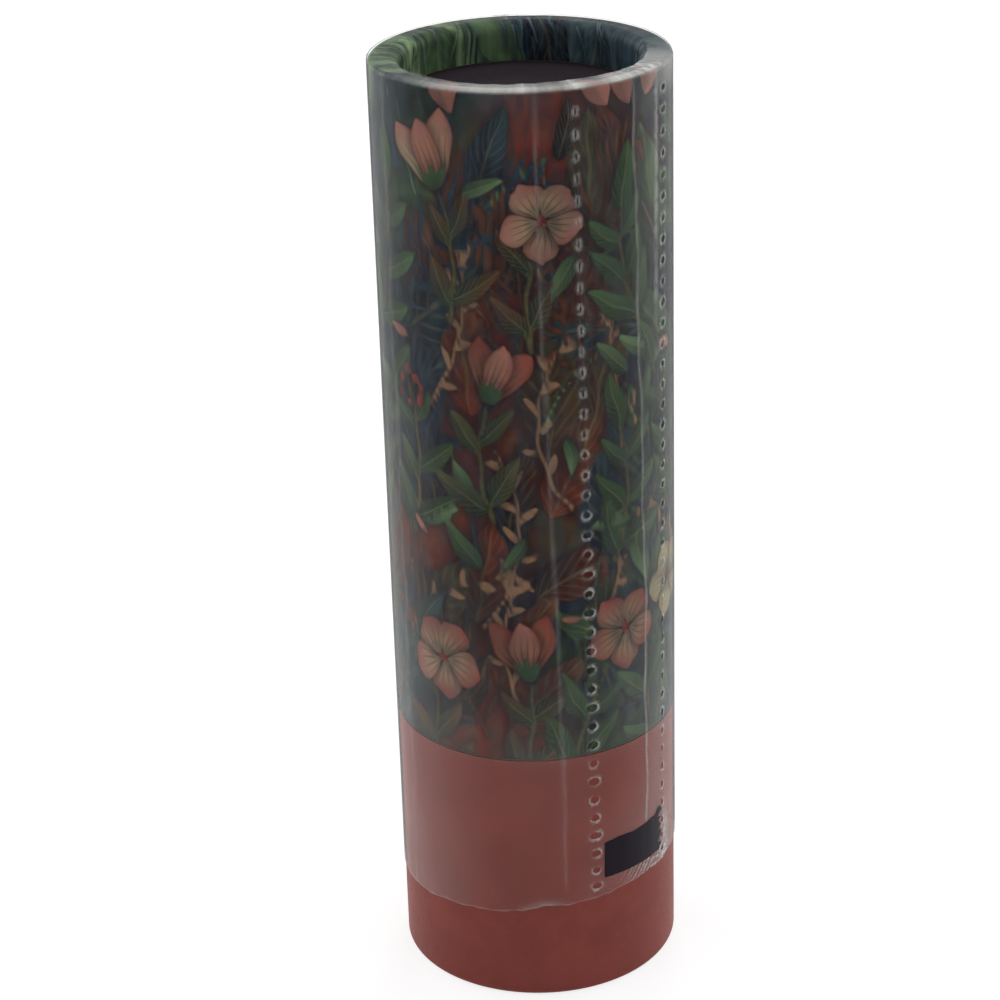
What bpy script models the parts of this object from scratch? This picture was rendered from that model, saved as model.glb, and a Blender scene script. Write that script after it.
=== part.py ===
"""A twist-up lipstick in a paperboard tube, sealed in clear shrink film with a tear strip.

Units are metres and +Z is up. The origin is the centre of the foot ring, on the surface that
the tube stands on, and -Y is the side that faces the viewer. Radii are worked out from the
bullet outwards and heights from the foot upwards, so each piece takes its place from the
piece that it fits.
"""

import math

import bmesh
import bpy
from mathutils import Matrix, Vector

# Facets of round pieces
RING_SEGMENTS = 40
ARC_STEPS = 3
NOSE_STEPS = 8
RING_SECTION_SIDES = 8
PIN_SIDES = 12
HELIX_STEPS_PER_TURN = 24
SHARP_ANGLE_DEG = 30.0
MERGE_DISTANCE = 0.000001
CUT_OVERRUN = 0.0004

# Gaps: glued faces, sliding and turning fits
GLUE_GAP = 0.00005
SEAT_GAP = 0.0001
SLIDE_GAP = 0.00012
RUNNING_GAP = 0.00012
CAP_FIT_GAP = 0.00012
CAP_MOUTH_GAP = 0.0002

# Lipstick bullet
BULLET_RADIUS = 0.0060
BULLET_EDGE = 0.0003
BULLET_NOSE_HEIGHT = 0.0062
BULLET_SLANT_DEG = 52.0
BULLET_RIDGE_SHARE = 0.42
TIP_BELOW_COLLAR = 0.00045

# Carrier cup with its two lugs
CUP_WALL = 0.0005
CUP_FLOOR = 0.0008
CUP_REST_GAP = 0.0003
CUP_RIM_ABOVE_LUG = 0.00475
CUP_EDGE = 0.0002
LUG_RADIUS = 0.0008
LUG_SIDE_GAP = 0.00017
LUG_TIP_GAP = 0.00022

# Guide tube: two upright slots over a flange, with a retaining bead
GUIDE_WALL = 0.00072
GUIDE_FLANGE_THICKNESS = 0.0015
GUIDE_ABOVE_CUP = 0.00025
GUIDE_EDGE = 0.00015
RETAINING_BEAD_HEIGHT = 0.0007
RETAINING_BEAD_RISE = 0.00026
RETAINING_GROOVE_ROOM = 0.0002

# Spiral sleeve: two helical grooves that lift the lugs
LIFT_TRAVEL = 0.0283
TWIST_TURNS = 2.25
GROOVE_DEPTH = 0.00055
GROOVE_BACKING = 0.0003
GROOVE_SIDE_GAP = 0.00023
GROOVE_RUN_OUT = 0.0012
SPIRAL_LAND = 0.0005

# Friction ring under the spiral sleeve
FRICTION_RING_SECTION = 0.00086
FRICTION_RING_GAP = 0.00014

# Collar over the spiral sleeve
COLLAR_WALL = 0.0005
COLLAR_LIP = 0.0008
COLLAR_LIP_GAP = 0.00015
COLLAR_ROUNDING = 0.00035
GRIP_BEAD_GAP = 0.00005
GRIP_BEAD_HEIGHT = 0.0009
GRIP_BEAD_ABOVE_BASE = 0.0030

# Board tubes and discs of the base and the cap
LINER_WALL = 0.0009
CAP_TUBE_WALL = 0.0011
BASE_SET_IN = 0.0001
BASE_HEIGHT = 0.0217
BASE_SLEEVE_SET_DOWN = 0.0003
FOOT_RECESS_DEPTH = 0.0016
BASE_DISC_THICKNESS = 0.0012
CAP_DISC_THICKNESS = 0.0010
CAP_HEADROOM = 0.00038
CAP_RECESS_DEPTH = 0.00306
RIM_ROUNDING = 0.0003
FOOT_ROUNDING = 0.00015
MOUTH_CHAMFER = 0.0003
DISC_EDGE = 0.0001

# Printed paper round the board
WRAP_THICKNESS = 0.00015

# Clear film and its tear strip
FILM_GAP = 0.00006
FILM_THICKNESS = 0.00006
FILM_LIP_WIDTH = 0.0013
FILM_EDGE_HEIGHT = 0.0082
FILM_EDGE_RISE = 0.0022
STRIP_MIDDLE_DEG = 42.75
STRIP_WIDTH = 0.0083
STRIP_TAPER = 0.0019
STRIP_SLIT = 0.0001

# Radii, from the bullet outwards
CUP_BORE = BULLET_RADIUS + GLUE_GAP
CUP_RADIUS = CUP_BORE + CUP_WALL
GUIDE_BORE = CUP_RADIUS + SLIDE_GAP
GUIDE_RADIUS = GUIDE_BORE + GUIDE_WALL
SPIRAL_BORE = GUIDE_RADIUS + RUNNING_GAP
GROOVE_RADIUS = SPIRAL_BORE + GROOVE_DEPTH
SPIRAL_RADIUS = GROOVE_RADIUS + GROOVE_BACKING
LUG_TIP_RADIUS = GROOVE_RADIUS - LUG_TIP_GAP
COLLAR_BORE = SPIRAL_RADIUS + GLUE_GAP
COLLAR_RADIUS = COLLAR_BORE + COLLAR_WALL
LINER_BORE = COLLAR_RADIUS + CAP_FIT_GAP
LINER_RADIUS = LINER_BORE + LINER_WALL
TUBE_BORE = LINER_RADIUS + GLUE_GAP
CAP_TUBE_RADIUS = TUBE_BORE + CAP_TUBE_WALL
BASE_TUBE_RADIUS = CAP_TUBE_RADIUS - BASE_SET_IN
WRAP_BUILD_UP = GLUE_GAP + WRAP_THICKNESS
CAP_WRAP_RADIUS = CAP_TUBE_RADIUS + WRAP_BUILD_UP
BASE_WRAP_RADIUS = BASE_TUBE_RADIUS + WRAP_BUILD_UP
RECESS_RADIUS = LINER_BORE - WRAP_BUILD_UP
FILM_BORE = CAP_WRAP_RADIUS + FILM_GAP
FILM_RADIUS = FILM_BORE + FILM_THICKNESS

# Helix of the spiral grooves
GROOVE_LEAD = LIFT_TRAVEL / TWIST_TURNS
GROOVE_SLOPE = math.atan(GROOVE_LEAD / (2.0 * math.pi * SPIRAL_BORE))
GROOVE_HALF_WIDTH = (LUG_RADIUS + GROOVE_SIDE_GAP) / math.cos(GROOVE_SLOPE)
GROOVE_RUN_OUT_TURNS = GROOVE_RUN_OUT / (2.0 * math.pi * SPIRAL_BORE)
GROOVE_RUN_OUT_RISE = GROOVE_RUN_OUT_TURNS * GROOVE_LEAD

# Heights, from the foot upwards
BOARD_FOOT = WRAP_BUILD_UP
BASE_DISC_TOP = FOOT_RECESS_DEPTH + BASE_DISC_THICKNESS
FLANGE_BOTTOM = BASE_DISC_TOP + SEAT_GAP
FLANGE_TOP = FLANGE_BOTTOM + GUIDE_FLANGE_THICKNESS
FRICTION_RING_TOP = FLANGE_TOP + GLUE_GAP + FRICTION_RING_SECTION
SPIRAL_BOTTOM = FRICTION_RING_TOP + FRICTION_RING_GAP
RETAINING_GROOVE_HEIGHT = RETAINING_BEAD_HEIGHT + 2.0 * RETAINING_GROOVE_ROOM
RETAINING_HEIGHT = SPIRAL_BOTTOM + SPIRAL_LAND + RETAINING_GROOVE_HEIGHT / 2.0
GROOVE_START = RETAINING_HEIGHT + RETAINING_GROOVE_HEIGHT / 2.0 + SPIRAL_LAND + GROOVE_HALF_WIDTH
LUG_HEIGHT = GROOVE_START + GROOVE_RUN_OUT_RISE
CUP_BOTTOM = FLANGE_TOP + CUP_REST_GAP
CUP_TOP = LUG_HEIGHT + CUP_RIM_ABOVE_LUG
GUIDE_TOP = CUP_TOP + LIFT_TRAVEL + GUIDE_ABOVE_CUP
COLLAR_LIP_BOTTOM = GUIDE_TOP + COLLAR_LIP_GAP
COLLAR_TOP = COLLAR_LIP_BOTTOM + COLLAR_LIP
BULLET_TIP = COLLAR_TOP - TIP_BELOW_COLLAR
CAP_MOUTH = BASE_HEIGHT + CAP_MOUTH_GAP
CAP_CEILING = BULLET_TIP + LIFT_TRAVEL + CAP_HEADROOM
CAP_DISC_TOP = CAP_CEILING + CAP_DISC_THICKNESS
WRAP_CREST = CAP_DISC_TOP + CAP_RECESS_DEPTH
BOARD_CREST = WRAP_CREST - WRAP_BUILD_UP
FILM_CREST = WRAP_CREST + FILM_GAP + FILM_THICKNESS

# Colours in linear light
PRINTED_PAPER = (0.060, 0.072, 0.050)
BRICK_PAPER = (0.170, 0.050, 0.040)
KRAFT_BOARD = (0.380, 0.290, 0.200)
DARK_BOARD = (0.020, 0.018, 0.019)
BLACK_PLASTIC = (0.012, 0.012, 0.013)
PALE_PLASTIC = (0.560, 0.550, 0.520)
DARK_RUBBER = (0.030, 0.030, 0.032)
BRICK_ROSE_WAX = (0.300, 0.055, 0.045)
CLEAR_FILM = (0.850, 0.850, 0.850)


def clear_scene():
    """Removes whatever the new file holds."""
    for existing in list(bpy.data.objects):
        bpy.data.objects.remove(existing, do_unlink=True)


def new_collection(name):
    """Returns a new collection, linked to the scene."""
    collection = bpy.data.collections.new(name)
    bpy.context.scene.collection.children.link(collection)
    return collection


def plain_material(name, colour, roughness, alpha=1.0):
    """Returns a Principled material of one colour."""
    material = bpy.data.materials.new(name)
    material.use_nodes = True
    shader = material.node_tree.nodes["Principled BSDF"]
    shader.inputs["Base Color"].default_value = (*colour, 1.0)
    shader.inputs["Roughness"].default_value = roughness
    shader.inputs["Metallic"].default_value = 0.0
    shader.inputs["Alpha"].default_value = alpha
    return material


def arc(centre_radius, centre_height, rounding, start_deg, end_deg):
    """Returns the outline points of a rounded corner, in order and with both ends."""
    points = []
    for step in range(ARC_STEPS + 1):
        angle = math.radians(start_deg + (end_deg - start_deg) * step / ARC_STEPS)
        points.append(
            (centre_radius + rounding * math.cos(angle), centre_height + rounding * math.sin(angle))
        )
    return points


def turned(name, outline, material, closed=True):
    """Makes a piece by turning an outline of (radius, height) points about Z.

    The outline runs down the piece's outer side. A closed one makes a ring, and an open one
    starts and ends on the axis.
    """
    edges = [(index, index + 1) for index in range(len(outline) - 1)]
    if closed:
        edges.append((len(outline) - 1, 0))
    profile = bpy.data.meshes.new(name + "_profile")
    profile.from_pydata([(radius, 0.0, height) for radius, height in outline], edges, [])
    piece = bpy.data.objects.new(name, profile)
    PIECES.objects.link(piece)
    screw = piece.modifiers.new("turn", "SCREW")
    screw.steps = RING_SEGMENTS
    screw.render_steps = RING_SEGMENTS
    screw.use_merge_vertices = True
    screw.merge_threshold = MERGE_DISTANCE
    bake(piece)
    piece.data.shade_smooth()
    piece.data.set_sharp_from_angle(angle=math.radians(SHARP_ANGLE_DEG))
    piece.data.materials.append(material)
    return piece


def bake(piece):
    """Puts the result of a piece's modifiers in its mesh."""
    depsgraph = bpy.context.evaluated_depsgraph_get()
    mesh = bpy.data.meshes.new_from_object(piece.evaluated_get(depsgraph))
    mesh.name = piece.name
    piece.modifiers.clear()
    piece.data = mesh


def cutter_from(name, bm):
    """Makes a hidden cutter from a bmesh."""
    bmesh.ops.recalc_face_normals(bm, faces=bm.faces)
    mesh = bpy.data.meshes.new(name)
    bm.to_mesh(mesh)
    bm.free()
    cutter = bpy.data.objects.new(name, mesh)
    cutter.display_type = "WIRE"
    cutter.hide_render = True
    CUTTERS.objects.link(cutter)
    return cutter


def combine(piece, cutter, operation):
    """Cuts, keeps or joins a cutter's volume on a piece."""
    boolean = piece.modifiers.new(cutter.name, "BOOLEAN")
    boolean.operation = operation
    boolean.solver = "EXACT"
    boolean.object = cutter


def disc_outline(radius, bottom, top):
    """Returns the open outline of a board disc with its edges just broken."""
    return [
        (0.0, top),
        (radius - DISC_EDGE, top),
        (radius, top - DISC_EDGE),
        (radius, bottom + DISC_EDGE),
        (radius - DISC_EDGE, bottom),
        (0.0, bottom),
    ]


def make_base_wrap(material):
    """Brick paper round the base, turned under the foot and up to the base disc."""
    corner = FOOT_ROUNDING + WRAP_BUILD_UP
    outer_centre = BASE_WRAP_RADIUS - corner
    inner_centre = RECESS_RADIUS + corner
    inner_end = FOOT_RECESS_DEPTH - GLUE_GAP
    back = corner - WRAP_THICKNESS
    outline = [(BASE_WRAP_RADIUS, BASE_HEIGHT)]
    outline += arc(outer_centre, corner, corner, 0.0, -90.0)
    outline += arc(inner_centre, corner, corner, -90.0, -180.0)
    outline += [(RECESS_RADIUS, inner_end), (RECESS_RADIUS + WRAP_THICKNESS, inner_end)]
    outline += arc(inner_centre, corner, back, -180.0, -90.0)
    outline += arc(outer_centre, corner, back, -90.0, 0.0)
    outline += [(BASE_WRAP_RADIUS - WRAP_THICKNESS, BASE_HEIGHT)]
    return turned("base_wrap", outline, material)


def make_base_tube(material):
    """Outer board tube of the base."""
    outline = [(BASE_TUBE_RADIUS, BASE_HEIGHT)]
    outline += arc(BASE_TUBE_RADIUS - FOOT_ROUNDING, BOARD_FOOT + FOOT_ROUNDING, FOOT_ROUNDING, 0.0, -90.0)
    outline += [(TUBE_BORE, BOARD_FOOT), (TUBE_BORE, BASE_HEIGHT)]
    return turned("base_tube", outline, material)


def make_base_sleeve(material):
    """Inner board sleeve of the base, which holds the disc and the mechanism."""
    top = BASE_HEIGHT - BASE_SLEEVE_SET_DOWN
    outline = [(LINER_RADIUS, top), (LINER_RADIUS, BOARD_FOOT)]
    outline += arc(LINER_BORE + FOOT_ROUNDING, BOARD_FOOT + FOOT_ROUNDING, FOOT_ROUNDING, -90.0, -180.0)
    outline += [(LINER_BORE, top - MOUTH_CHAMFER), (LINER_BORE + MOUTH_CHAMFER, top)]
    return turned("base_sleeve", outline, material)


def make_base_disc(material):
    """Board disc glued across the base, above the foot recess."""
    outline = disc_outline(LINER_BORE - GLUE_GAP, FOOT_RECESS_DEPTH, BASE_DISC_TOP)
    return turned("base_disc", outline, material, closed=False)


def make_guide_tube(material):
    """Guide tube, with a flange glued in the base and two slots that stop the cup turning."""
    bead_low = RETAINING_HEIGHT - RETAINING_BEAD_HEIGHT / 2.0
    bead_high = RETAINING_HEIGHT + RETAINING_BEAD_HEIGHT / 2.0
    bead_radius = GUIDE_RADIUS + RETAINING_BEAD_RISE
    bead_slope = RETAINING_BEAD_HEIGHT / 4.0
    flange_radius = LINER_BORE - GLUE_GAP
    outline = [
        (0.0, FLANGE_TOP),
        (GUIDE_BORE, FLANGE_TOP),
        (GUIDE_BORE, GUIDE_TOP - GUIDE_EDGE),
        (GUIDE_BORE + GUIDE_EDGE, GUIDE_TOP),
        (GUIDE_RADIUS - GUIDE_EDGE, GUIDE_TOP),
        (GUIDE_RADIUS, GUIDE_TOP - GUIDE_EDGE),
        (GUIDE_RADIUS, bead_high),
        (bead_radius, bead_high - bead_slope),
        (bead_radius, bead_low + bead_slope),
        (GUIDE_RADIUS, bead_low),
        (GUIDE_RADIUS, FLANGE_TOP),
        (flange_radius - GUIDE_EDGE, FLANGE_TOP),
        (flange_radius, FLANGE_TOP - GUIDE_EDGE),
        (flange_radius, FLANGE_BOTTOM),
        (0.0, FLANGE_BOTTOM),
    ]
    tube = turned("guide_tube", outline, material, closed=False)
    combine(tube, slot_bar("guide_slots"), "DIFFERENCE")
    return tube


def slot_bar(name):
    """Makes the round-ended bar along X that cuts both guide slots at once."""
    half_width = LUG_RADIUS + LUG_SIDE_GAP
    corner_radius = half_width / math.cos(math.pi / PIN_SIDES)
    upright_flats = Matrix.Rotation(math.pi / PIN_SIDES, 4, "Z")
    along_x = Matrix.Rotation(math.pi / 2.0, 4, "Y")
    bm = bmesh.new()
    bmesh.ops.create_cone(
        bm,
        cap_ends=True,
        segments=PIN_SIDES,
        radius1=corner_radius,
        radius2=corner_radius,
        depth=2.0 * (GUIDE_RADIUS + CUT_OVERRUN),
        matrix=along_x @ upright_flats,
    )
    for vertex in bm.verts:
        vertex.co.z += LUG_HEIGHT + (LIFT_TRAVEL if vertex.co.z > 0.0 else 0.0)
    return cutter_from(name, bm)


def make_friction_ring(material):
    """Rubber ring between the flange and the spiral sleeve, which gives the twist its drag."""
    section_radius = FRICTION_RING_SECTION / 2.0
    centre_radius = GUIDE_RADIUS + GLUE_GAP + section_radius
    centre_height = FRICTION_RING_TOP - section_radius
    outline = []
    for side in range(RING_SECTION_SIDES):
        angle = -2.0 * math.pi * side / RING_SECTION_SIDES
        outline.append(
            (
                centre_radius + section_radius * math.cos(angle),
                centre_height + section_radius * math.sin(angle),
            )
        )
    return turned("friction_ring", outline, material)


def make_spiral_sleeve(material):
    """Spiral sleeve, with two helical grooves in its bore and a snap groove at its foot."""
    groove_low = RETAINING_HEIGHT - RETAINING_GROOVE_HEIGHT / 2.0
    groove_high = RETAINING_HEIGHT + RETAINING_GROOVE_HEIGHT / 2.0
    groove_radius = SPIRAL_BORE + RETAINING_BEAD_RISE
    groove_slope = RETAINING_BEAD_HEIGHT / 4.0
    top = COLLAR_LIP_BOTTOM - GLUE_GAP
    outline = [
        (SPIRAL_RADIUS, top),
        (SPIRAL_RADIUS, SPIRAL_BOTTOM),
        (SPIRAL_BORE, SPIRAL_BOTTOM),
        (SPIRAL_BORE, groove_low),
        (groove_radius, groove_low + groove_slope),
        (groove_radius, groove_high - groove_slope),
        (SPIRAL_BORE, groove_high),
        (SPIRAL_BORE, top),
    ]
    sleeve = turned("spiral_sleeve", outline, material)
    for index, lug_angle in enumerate((0.0, math.pi)):
        combine(sleeve, groove_bar("spiral_groove_%d" % (index + 1), lug_angle), "DIFFERENCE")
    return sleeve


def groove_bar(name, lug_angle):
    """Makes the square bar, swept up a right-handed helix, that cuts one spiral groove."""
    turns = TWIST_TURNS + 2.0 * GROOVE_RUN_OUT_TURNS
    steps = math.ceil(turns * HELIX_STEPS_PER_TURN)
    start_angle = lug_angle - 2.0 * math.pi * GROOVE_RUN_OUT_TURNS
    section = [
        (SPIRAL_BORE - CUT_OVERRUN, GROOVE_START - GROOVE_HALF_WIDTH),
        (GROOVE_RADIUS, GROOVE_START - GROOVE_HALF_WIDTH),
        (GROOVE_RADIUS, GROOVE_START + GROOVE_HALF_WIDTH),
        (SPIRAL_BORE - CUT_OVERRUN, GROOVE_START + GROOVE_HALF_WIDTH),
    ]
    bm = bmesh.new()
    corners = [
        bm.verts.new((radius * math.cos(start_angle), radius * math.sin(start_angle), height))
        for radius, height in section
    ]
    end_face = bm.faces.new(corners)
    bmesh.ops.spin(
        bm,
        geom=corners + list(end_face.edges) + [end_face],
        cent=(0.0, 0.0, 0.0),
        axis=(0.0, 0.0, 1.0),
        dvec=(0.0, 0.0, turns * GROOVE_LEAD / steps),
        angle=2.0 * math.pi * turns,
        steps=steps,
    )
    return cutter_from(name, bm)


def make_collar(material):
    """Collar that the fingers turn, with a lip over the mechanism and a bead that grips the cap."""
    bead_height = CAP_MOUTH + GRIP_BEAD_ABOVE_BASE
    bead_radius = LINER_BORE - GRIP_BEAD_GAP
    lip_bore = GUIDE_BORE
    outline = [(lip_bore + COLLAR_ROUNDING, COLLAR_TOP)]
    outline += arc(COLLAR_RADIUS - COLLAR_ROUNDING, COLLAR_TOP - COLLAR_ROUNDING, COLLAR_ROUNDING, 90.0, 0.0)
    outline += [
        (COLLAR_RADIUS, bead_height + GRIP_BEAD_HEIGHT / 2.0),
        (bead_radius, bead_height),
        (COLLAR_RADIUS, bead_height - GRIP_BEAD_HEIGHT / 2.0),
        (COLLAR_RADIUS, FLANGE_TOP + COLLAR_LIP_GAP),
        (COLLAR_BORE, FLANGE_TOP + COLLAR_LIP_GAP),
        (COLLAR_BORE, COLLAR_LIP_BOTTOM),
        (lip_bore, COLLAR_LIP_BOTTOM),
        (lip_bore, COLLAR_TOP - COLLAR_ROUNDING),
    ]
    return turned("collar", outline, material)


def make_carrier_cup(material):
    """Cup that carries the bullet, with two lugs that reach through the slots into the grooves."""
    floor_top = CUP_BOTTOM + CUP_FLOOR
    outline = [
        (0.0, floor_top),
        (CUP_BORE, floor_top),
        (CUP_BORE, CUP_TOP - CUP_EDGE),
        (CUP_BORE + CUP_EDGE, CUP_TOP),
        (CUP_RADIUS, CUP_TOP),
        (CUP_RADIUS, CUP_BOTTOM + CUP_EDGE),
        (CUP_RADIUS - CUP_EDGE, CUP_BOTTOM),
        (0.0, CUP_BOTTOM),
    ]
    cup = turned("carrier_cup", outline, material, closed=False)
    root_radius = (CUP_BORE + CUP_RADIUS) / 2.0
    for index, side in enumerate((1.0, -1.0)):
        bm = bmesh.new()
        bmesh.ops.create_cone(
            bm,
            cap_ends=True,
            segments=PIN_SIDES,
            radius1=LUG_RADIUS,
            radius2=LUG_RADIUS,
            depth=LUG_TIP_RADIUS - root_radius,
            matrix=Matrix.Translation((side * (LUG_TIP_RADIUS + root_radius) / 2.0, 0.0, LUG_HEIGHT))
            @ Matrix.Rotation(math.pi / 2.0, 4, "Y"),
        )
        combine(cup, cutter_from("carrier_lug_%d" % (index + 1), bm), "UNION")
    return cup


def make_lipstick_bullet(material):
    """Bullet of lipstick: a domed stick with one slanted face towards the viewer."""
    bottom = CUP_BOTTOM + CUP_FLOOR + GLUE_GAP
    shoulder = BULLET_TIP - BULLET_NOSE_HEIGHT * math.sqrt(1.0 - BULLET_RIDGE_SHARE**2)
    outline = []
    for step in range(NOSE_STEPS + 1):
        angle = math.pi / 2.0 * step / NOSE_STEPS
        outline.append(
            (BULLET_RADIUS * math.sin(angle), shoulder + BULLET_NOSE_HEIGHT * math.cos(angle))
        )
    outline += [
        (BULLET_RADIUS, bottom + BULLET_EDGE),
        (BULLET_RADIUS - BULLET_EDGE, bottom),
        (0.0, bottom),
    ]
    bullet = turned("lipstick_bullet", outline, material, closed=False)
    combine(bullet, slant_block("bullet_slant"), "DIFFERENCE")
    return bullet


def slant_block(name):
    """Makes the tilted block whose underside cuts the bullet's slanted face."""
    size = 2.0 * (BULLET_TIP - CUP_BOTTOM)
    ridge = Vector((0.0, BULLET_RIDGE_SHARE * BULLET_RADIUS, BULLET_TIP))
    tilt = Matrix.Rotation(math.radians(BULLET_SLANT_DEG), 4, "X")
    bm = bmesh.new()
    bmesh.ops.create_cube(
        bm,
        size=size,
        matrix=Matrix.Translation(ridge) @ tilt @ Matrix.Translation((0.0, 0.0, size / 2.0)),
    )
    return cutter_from(name, bm)


def make_cap_wrap(material):
    """Printed paper round the cap, rolled over its rim and down to the cap disc."""
    corner = RIM_ROUNDING + WRAP_BUILD_UP
    outer_centre = CAP_WRAP_RADIUS - corner
    inner_centre = RECESS_RADIUS + corner
    centre_height = WRAP_CREST - corner
    inner_end = CAP_DISC_TOP + GLUE_GAP
    back = corner - WRAP_THICKNESS
    outline = [(RECESS_RADIUS, inner_end)]
    outline += arc(inner_centre, centre_height, corner, 180.0, 90.0)
    outline += arc(outer_centre, centre_height, corner, 90.0, 0.0)
    outline += [(CAP_WRAP_RADIUS, CAP_MOUTH), (CAP_WRAP_RADIUS - WRAP_THICKNESS, CAP_MOUTH)]
    outline += arc(outer_centre, centre_height, back, 0.0, 90.0)
    outline += arc(inner_centre, centre_height, back, 90.0, 180.0)
    outline += [(RECESS_RADIUS + WRAP_THICKNESS, inner_end)]
    return turned("cap_wrap", outline, material)


def make_cap_tube(material):
    """Outer board tube of the cap."""
    outline = [(TUBE_BORE, BOARD_CREST)]
    outline += arc(CAP_TUBE_RADIUS - RIM_ROUNDING, BOARD_CREST - RIM_ROUNDING, RIM_ROUNDING, 90.0, 0.0)
    outline += [(CAP_TUBE_RADIUS, CAP_MOUTH), (TUBE_BORE, CAP_MOUTH)]
    return turned("cap_tube", outline, material)


def make_cap_liner(material):
    """Inner board tube of the cap, which slides over the collar."""
    outline = [
        (LINER_RADIUS, BOARD_CREST),
        (LINER_RADIUS, CAP_MOUTH),
        (LINER_BORE + MOUTH_CHAMFER, CAP_MOUTH),
        (LINER_BORE, CAP_MOUTH + MOUTH_CHAMFER),
    ]
    outline += arc(LINER_BORE + RIM_ROUNDING, BOARD_CREST - RIM_ROUNDING, RIM_ROUNDING, 180.0, 90.0)
    return turned("cap_liner", outline, material)


def make_cap_disc(material):
    """Board disc glued across the cap, below the recess in its top."""
    outline = disc_outline(LINER_BORE - GLUE_GAP, CAP_CEILING, CAP_DISC_TOP)
    return turned("cap_disc", outline, material, closed=False)


def film_ring(name, material):
    """Makes the whole film with its lip over the rim and its slanted lower edge."""
    corner = RIM_ROUNDING + WRAP_BUILD_UP + FILM_GAP + FILM_THICKNESS
    centre_radius = FILM_RADIUS - corner
    centre_height = FILM_CREST - corner
    lip_end = FILM_RADIUS - FILM_LIP_WIDTH
    low = FILM_EDGE_HEIGHT - FILM_EDGE_RISE
    outline = [(lip_end, FILM_CREST)]
    outline += arc(centre_radius, centre_height, corner, 90.0, 0.0)
    outline += [(FILM_RADIUS, low), (FILM_BORE, low)]
    outline += arc(centre_radius, centre_height, corner - FILM_THICKNESS, 0.0, 90.0)
    outline += [(lip_end, FILM_CREST - FILM_THICKNESS)]
    ring = turned(name, outline, material)
    combine(ring, film_foot_block(name + "_foot"), "DIFFERENCE")
    return ring


def film_foot_block(name):
    """Makes the tilted block whose top cuts the film's lower edge, high on the right."""
    size = 4.0 * FILM_RADIUS
    tilt = -math.atan(FILM_EDGE_RISE / (2.0 * FILM_RADIUS))
    bm = bmesh.new()
    bmesh.ops.create_cube(
        bm,
        size=size,
        matrix=Matrix.Translation((0.0, 0.0, FILM_EDGE_HEIGHT))
        @ Matrix.Rotation(tilt, 4, "Y")
        @ Matrix.Translation((0.0, 0.0, -size / 2.0)),
    )
    return cutter_from(name, bm)


def strip_wedge(name, widening):
    """Makes the wedge between the two perforation planes, widened on both sides."""
    middle = math.radians(STRIP_MIDDLE_DEG - 90.0)
    outward = Vector((math.cos(middle), math.sin(middle), 0.0))
    sideways = Vector((-outward.y, outward.x, 0.0))
    centre = Vector((0.0, 0.0, FILM_CREST / 2.0))
    half_angle = STRIP_WIDTH / (2.0 * FILM_RADIUS)
    lean = math.atan(STRIP_TAPER / (2.0 * FILM_CREST))
    size = 2.0 * FILM_CREST
    bm = bmesh.new()
    bmesh.ops.create_cube(
        bm,
        size=size,
        matrix=Matrix.Translation(centre)
        @ Matrix.Rotation(middle, 4, "Z")
        @ Matrix.Translation((size / 2.0 + FILM_RADIUS / 2.0, 0.0, 0.0)),
    )
    for side in (1.0, -1.0):
        level = sideways * (side * math.cos(half_angle)) - outward * math.sin(half_angle)
        normal = level * math.cos(lean) - Vector((0.0, 0.0, math.sin(lean)))
        geometry = bm.verts[:] + bm.edges[:] + bm.faces[:]
        cut = bmesh.ops.bisect_plane(
            bm,
            geom=geometry,
            dist=MERGE_DISTANCE,
            plane_co=centre + normal * widening,
            plane_no=normal,
            clear_outer=True,
        )
        rim = [element for element in cut["geom_cut"] if isinstance(element, bmesh.types.BMEdge)]
        bmesh.ops.contextual_create(bm, geom=rim)
    return cutter_from(name, bm)


def make_film_sleeve(material):
    """Clear film over the cap and the base, open where the tear strip lies."""
    sleeve = film_ring("film_sleeve", material)
    combine(sleeve, strip_wedge("film_wedge", STRIP_SLIT / 2.0), "DIFFERENCE")
    return sleeve


def make_tear_strip(material):
    """Strip of the film between its two perforated lines."""
    strip = film_ring("tear_strip", material)
    combine(strip, strip_wedge("strip_wedge", -STRIP_SLIT / 2.0), "INTERSECT")
    return strip


def gather(name, pieces, parent=None):
    """Parents the pieces that move together to an empty on their joint's axis."""
    empty = bpy.data.objects.new(name, None)
    PIECES.objects.link(empty)
    empty.parent = parent
    for piece in pieces:
        piece.parent = empty
    return empty


def build_base():
    """Makes the base, which everything else stands in or on."""
    board = plain_material("kraft_board", KRAFT_BOARD, 0.9)
    pieces = [
        make_base_wrap(plain_material("brick_paper", BRICK_PAPER, 0.6)),
        make_base_tube(board),
        make_base_sleeve(board),
        make_base_disc(plain_material("brick_board", BRICK_PAPER, 0.8)),
        make_guide_tube(plain_material("guide_plastic", PALE_PLASTIC, 0.4)),
        make_friction_ring(plain_material("dark_rubber", DARK_RUBBER, 0.7)),
    ]
    return gather("base_axis", pieces)


def build_twist_unit(base):
    """Makes the collar and the spiral sleeve, which turn in the base."""
    pieces = [
        make_collar(plain_material("collar_plastic", BLACK_PLASTIC, 0.25)),
        make_spiral_sleeve(plain_material("spiral_plastic", PALE_PLASTIC, 0.4)),
    ]
    return gather("twist_axis", pieces, base)


def build_carrier(base):
    """Makes the cup and the bullet, which rise in the base."""
    pieces = [
        make_carrier_cup(plain_material("cup_plastic", BLACK_PLASTIC, 0.35)),
        make_lipstick_bullet(plain_material("brick_rose_wax", BRICK_ROSE_WAX, 0.35)),
    ]
    return gather("rise_axis", pieces, base)


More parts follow.
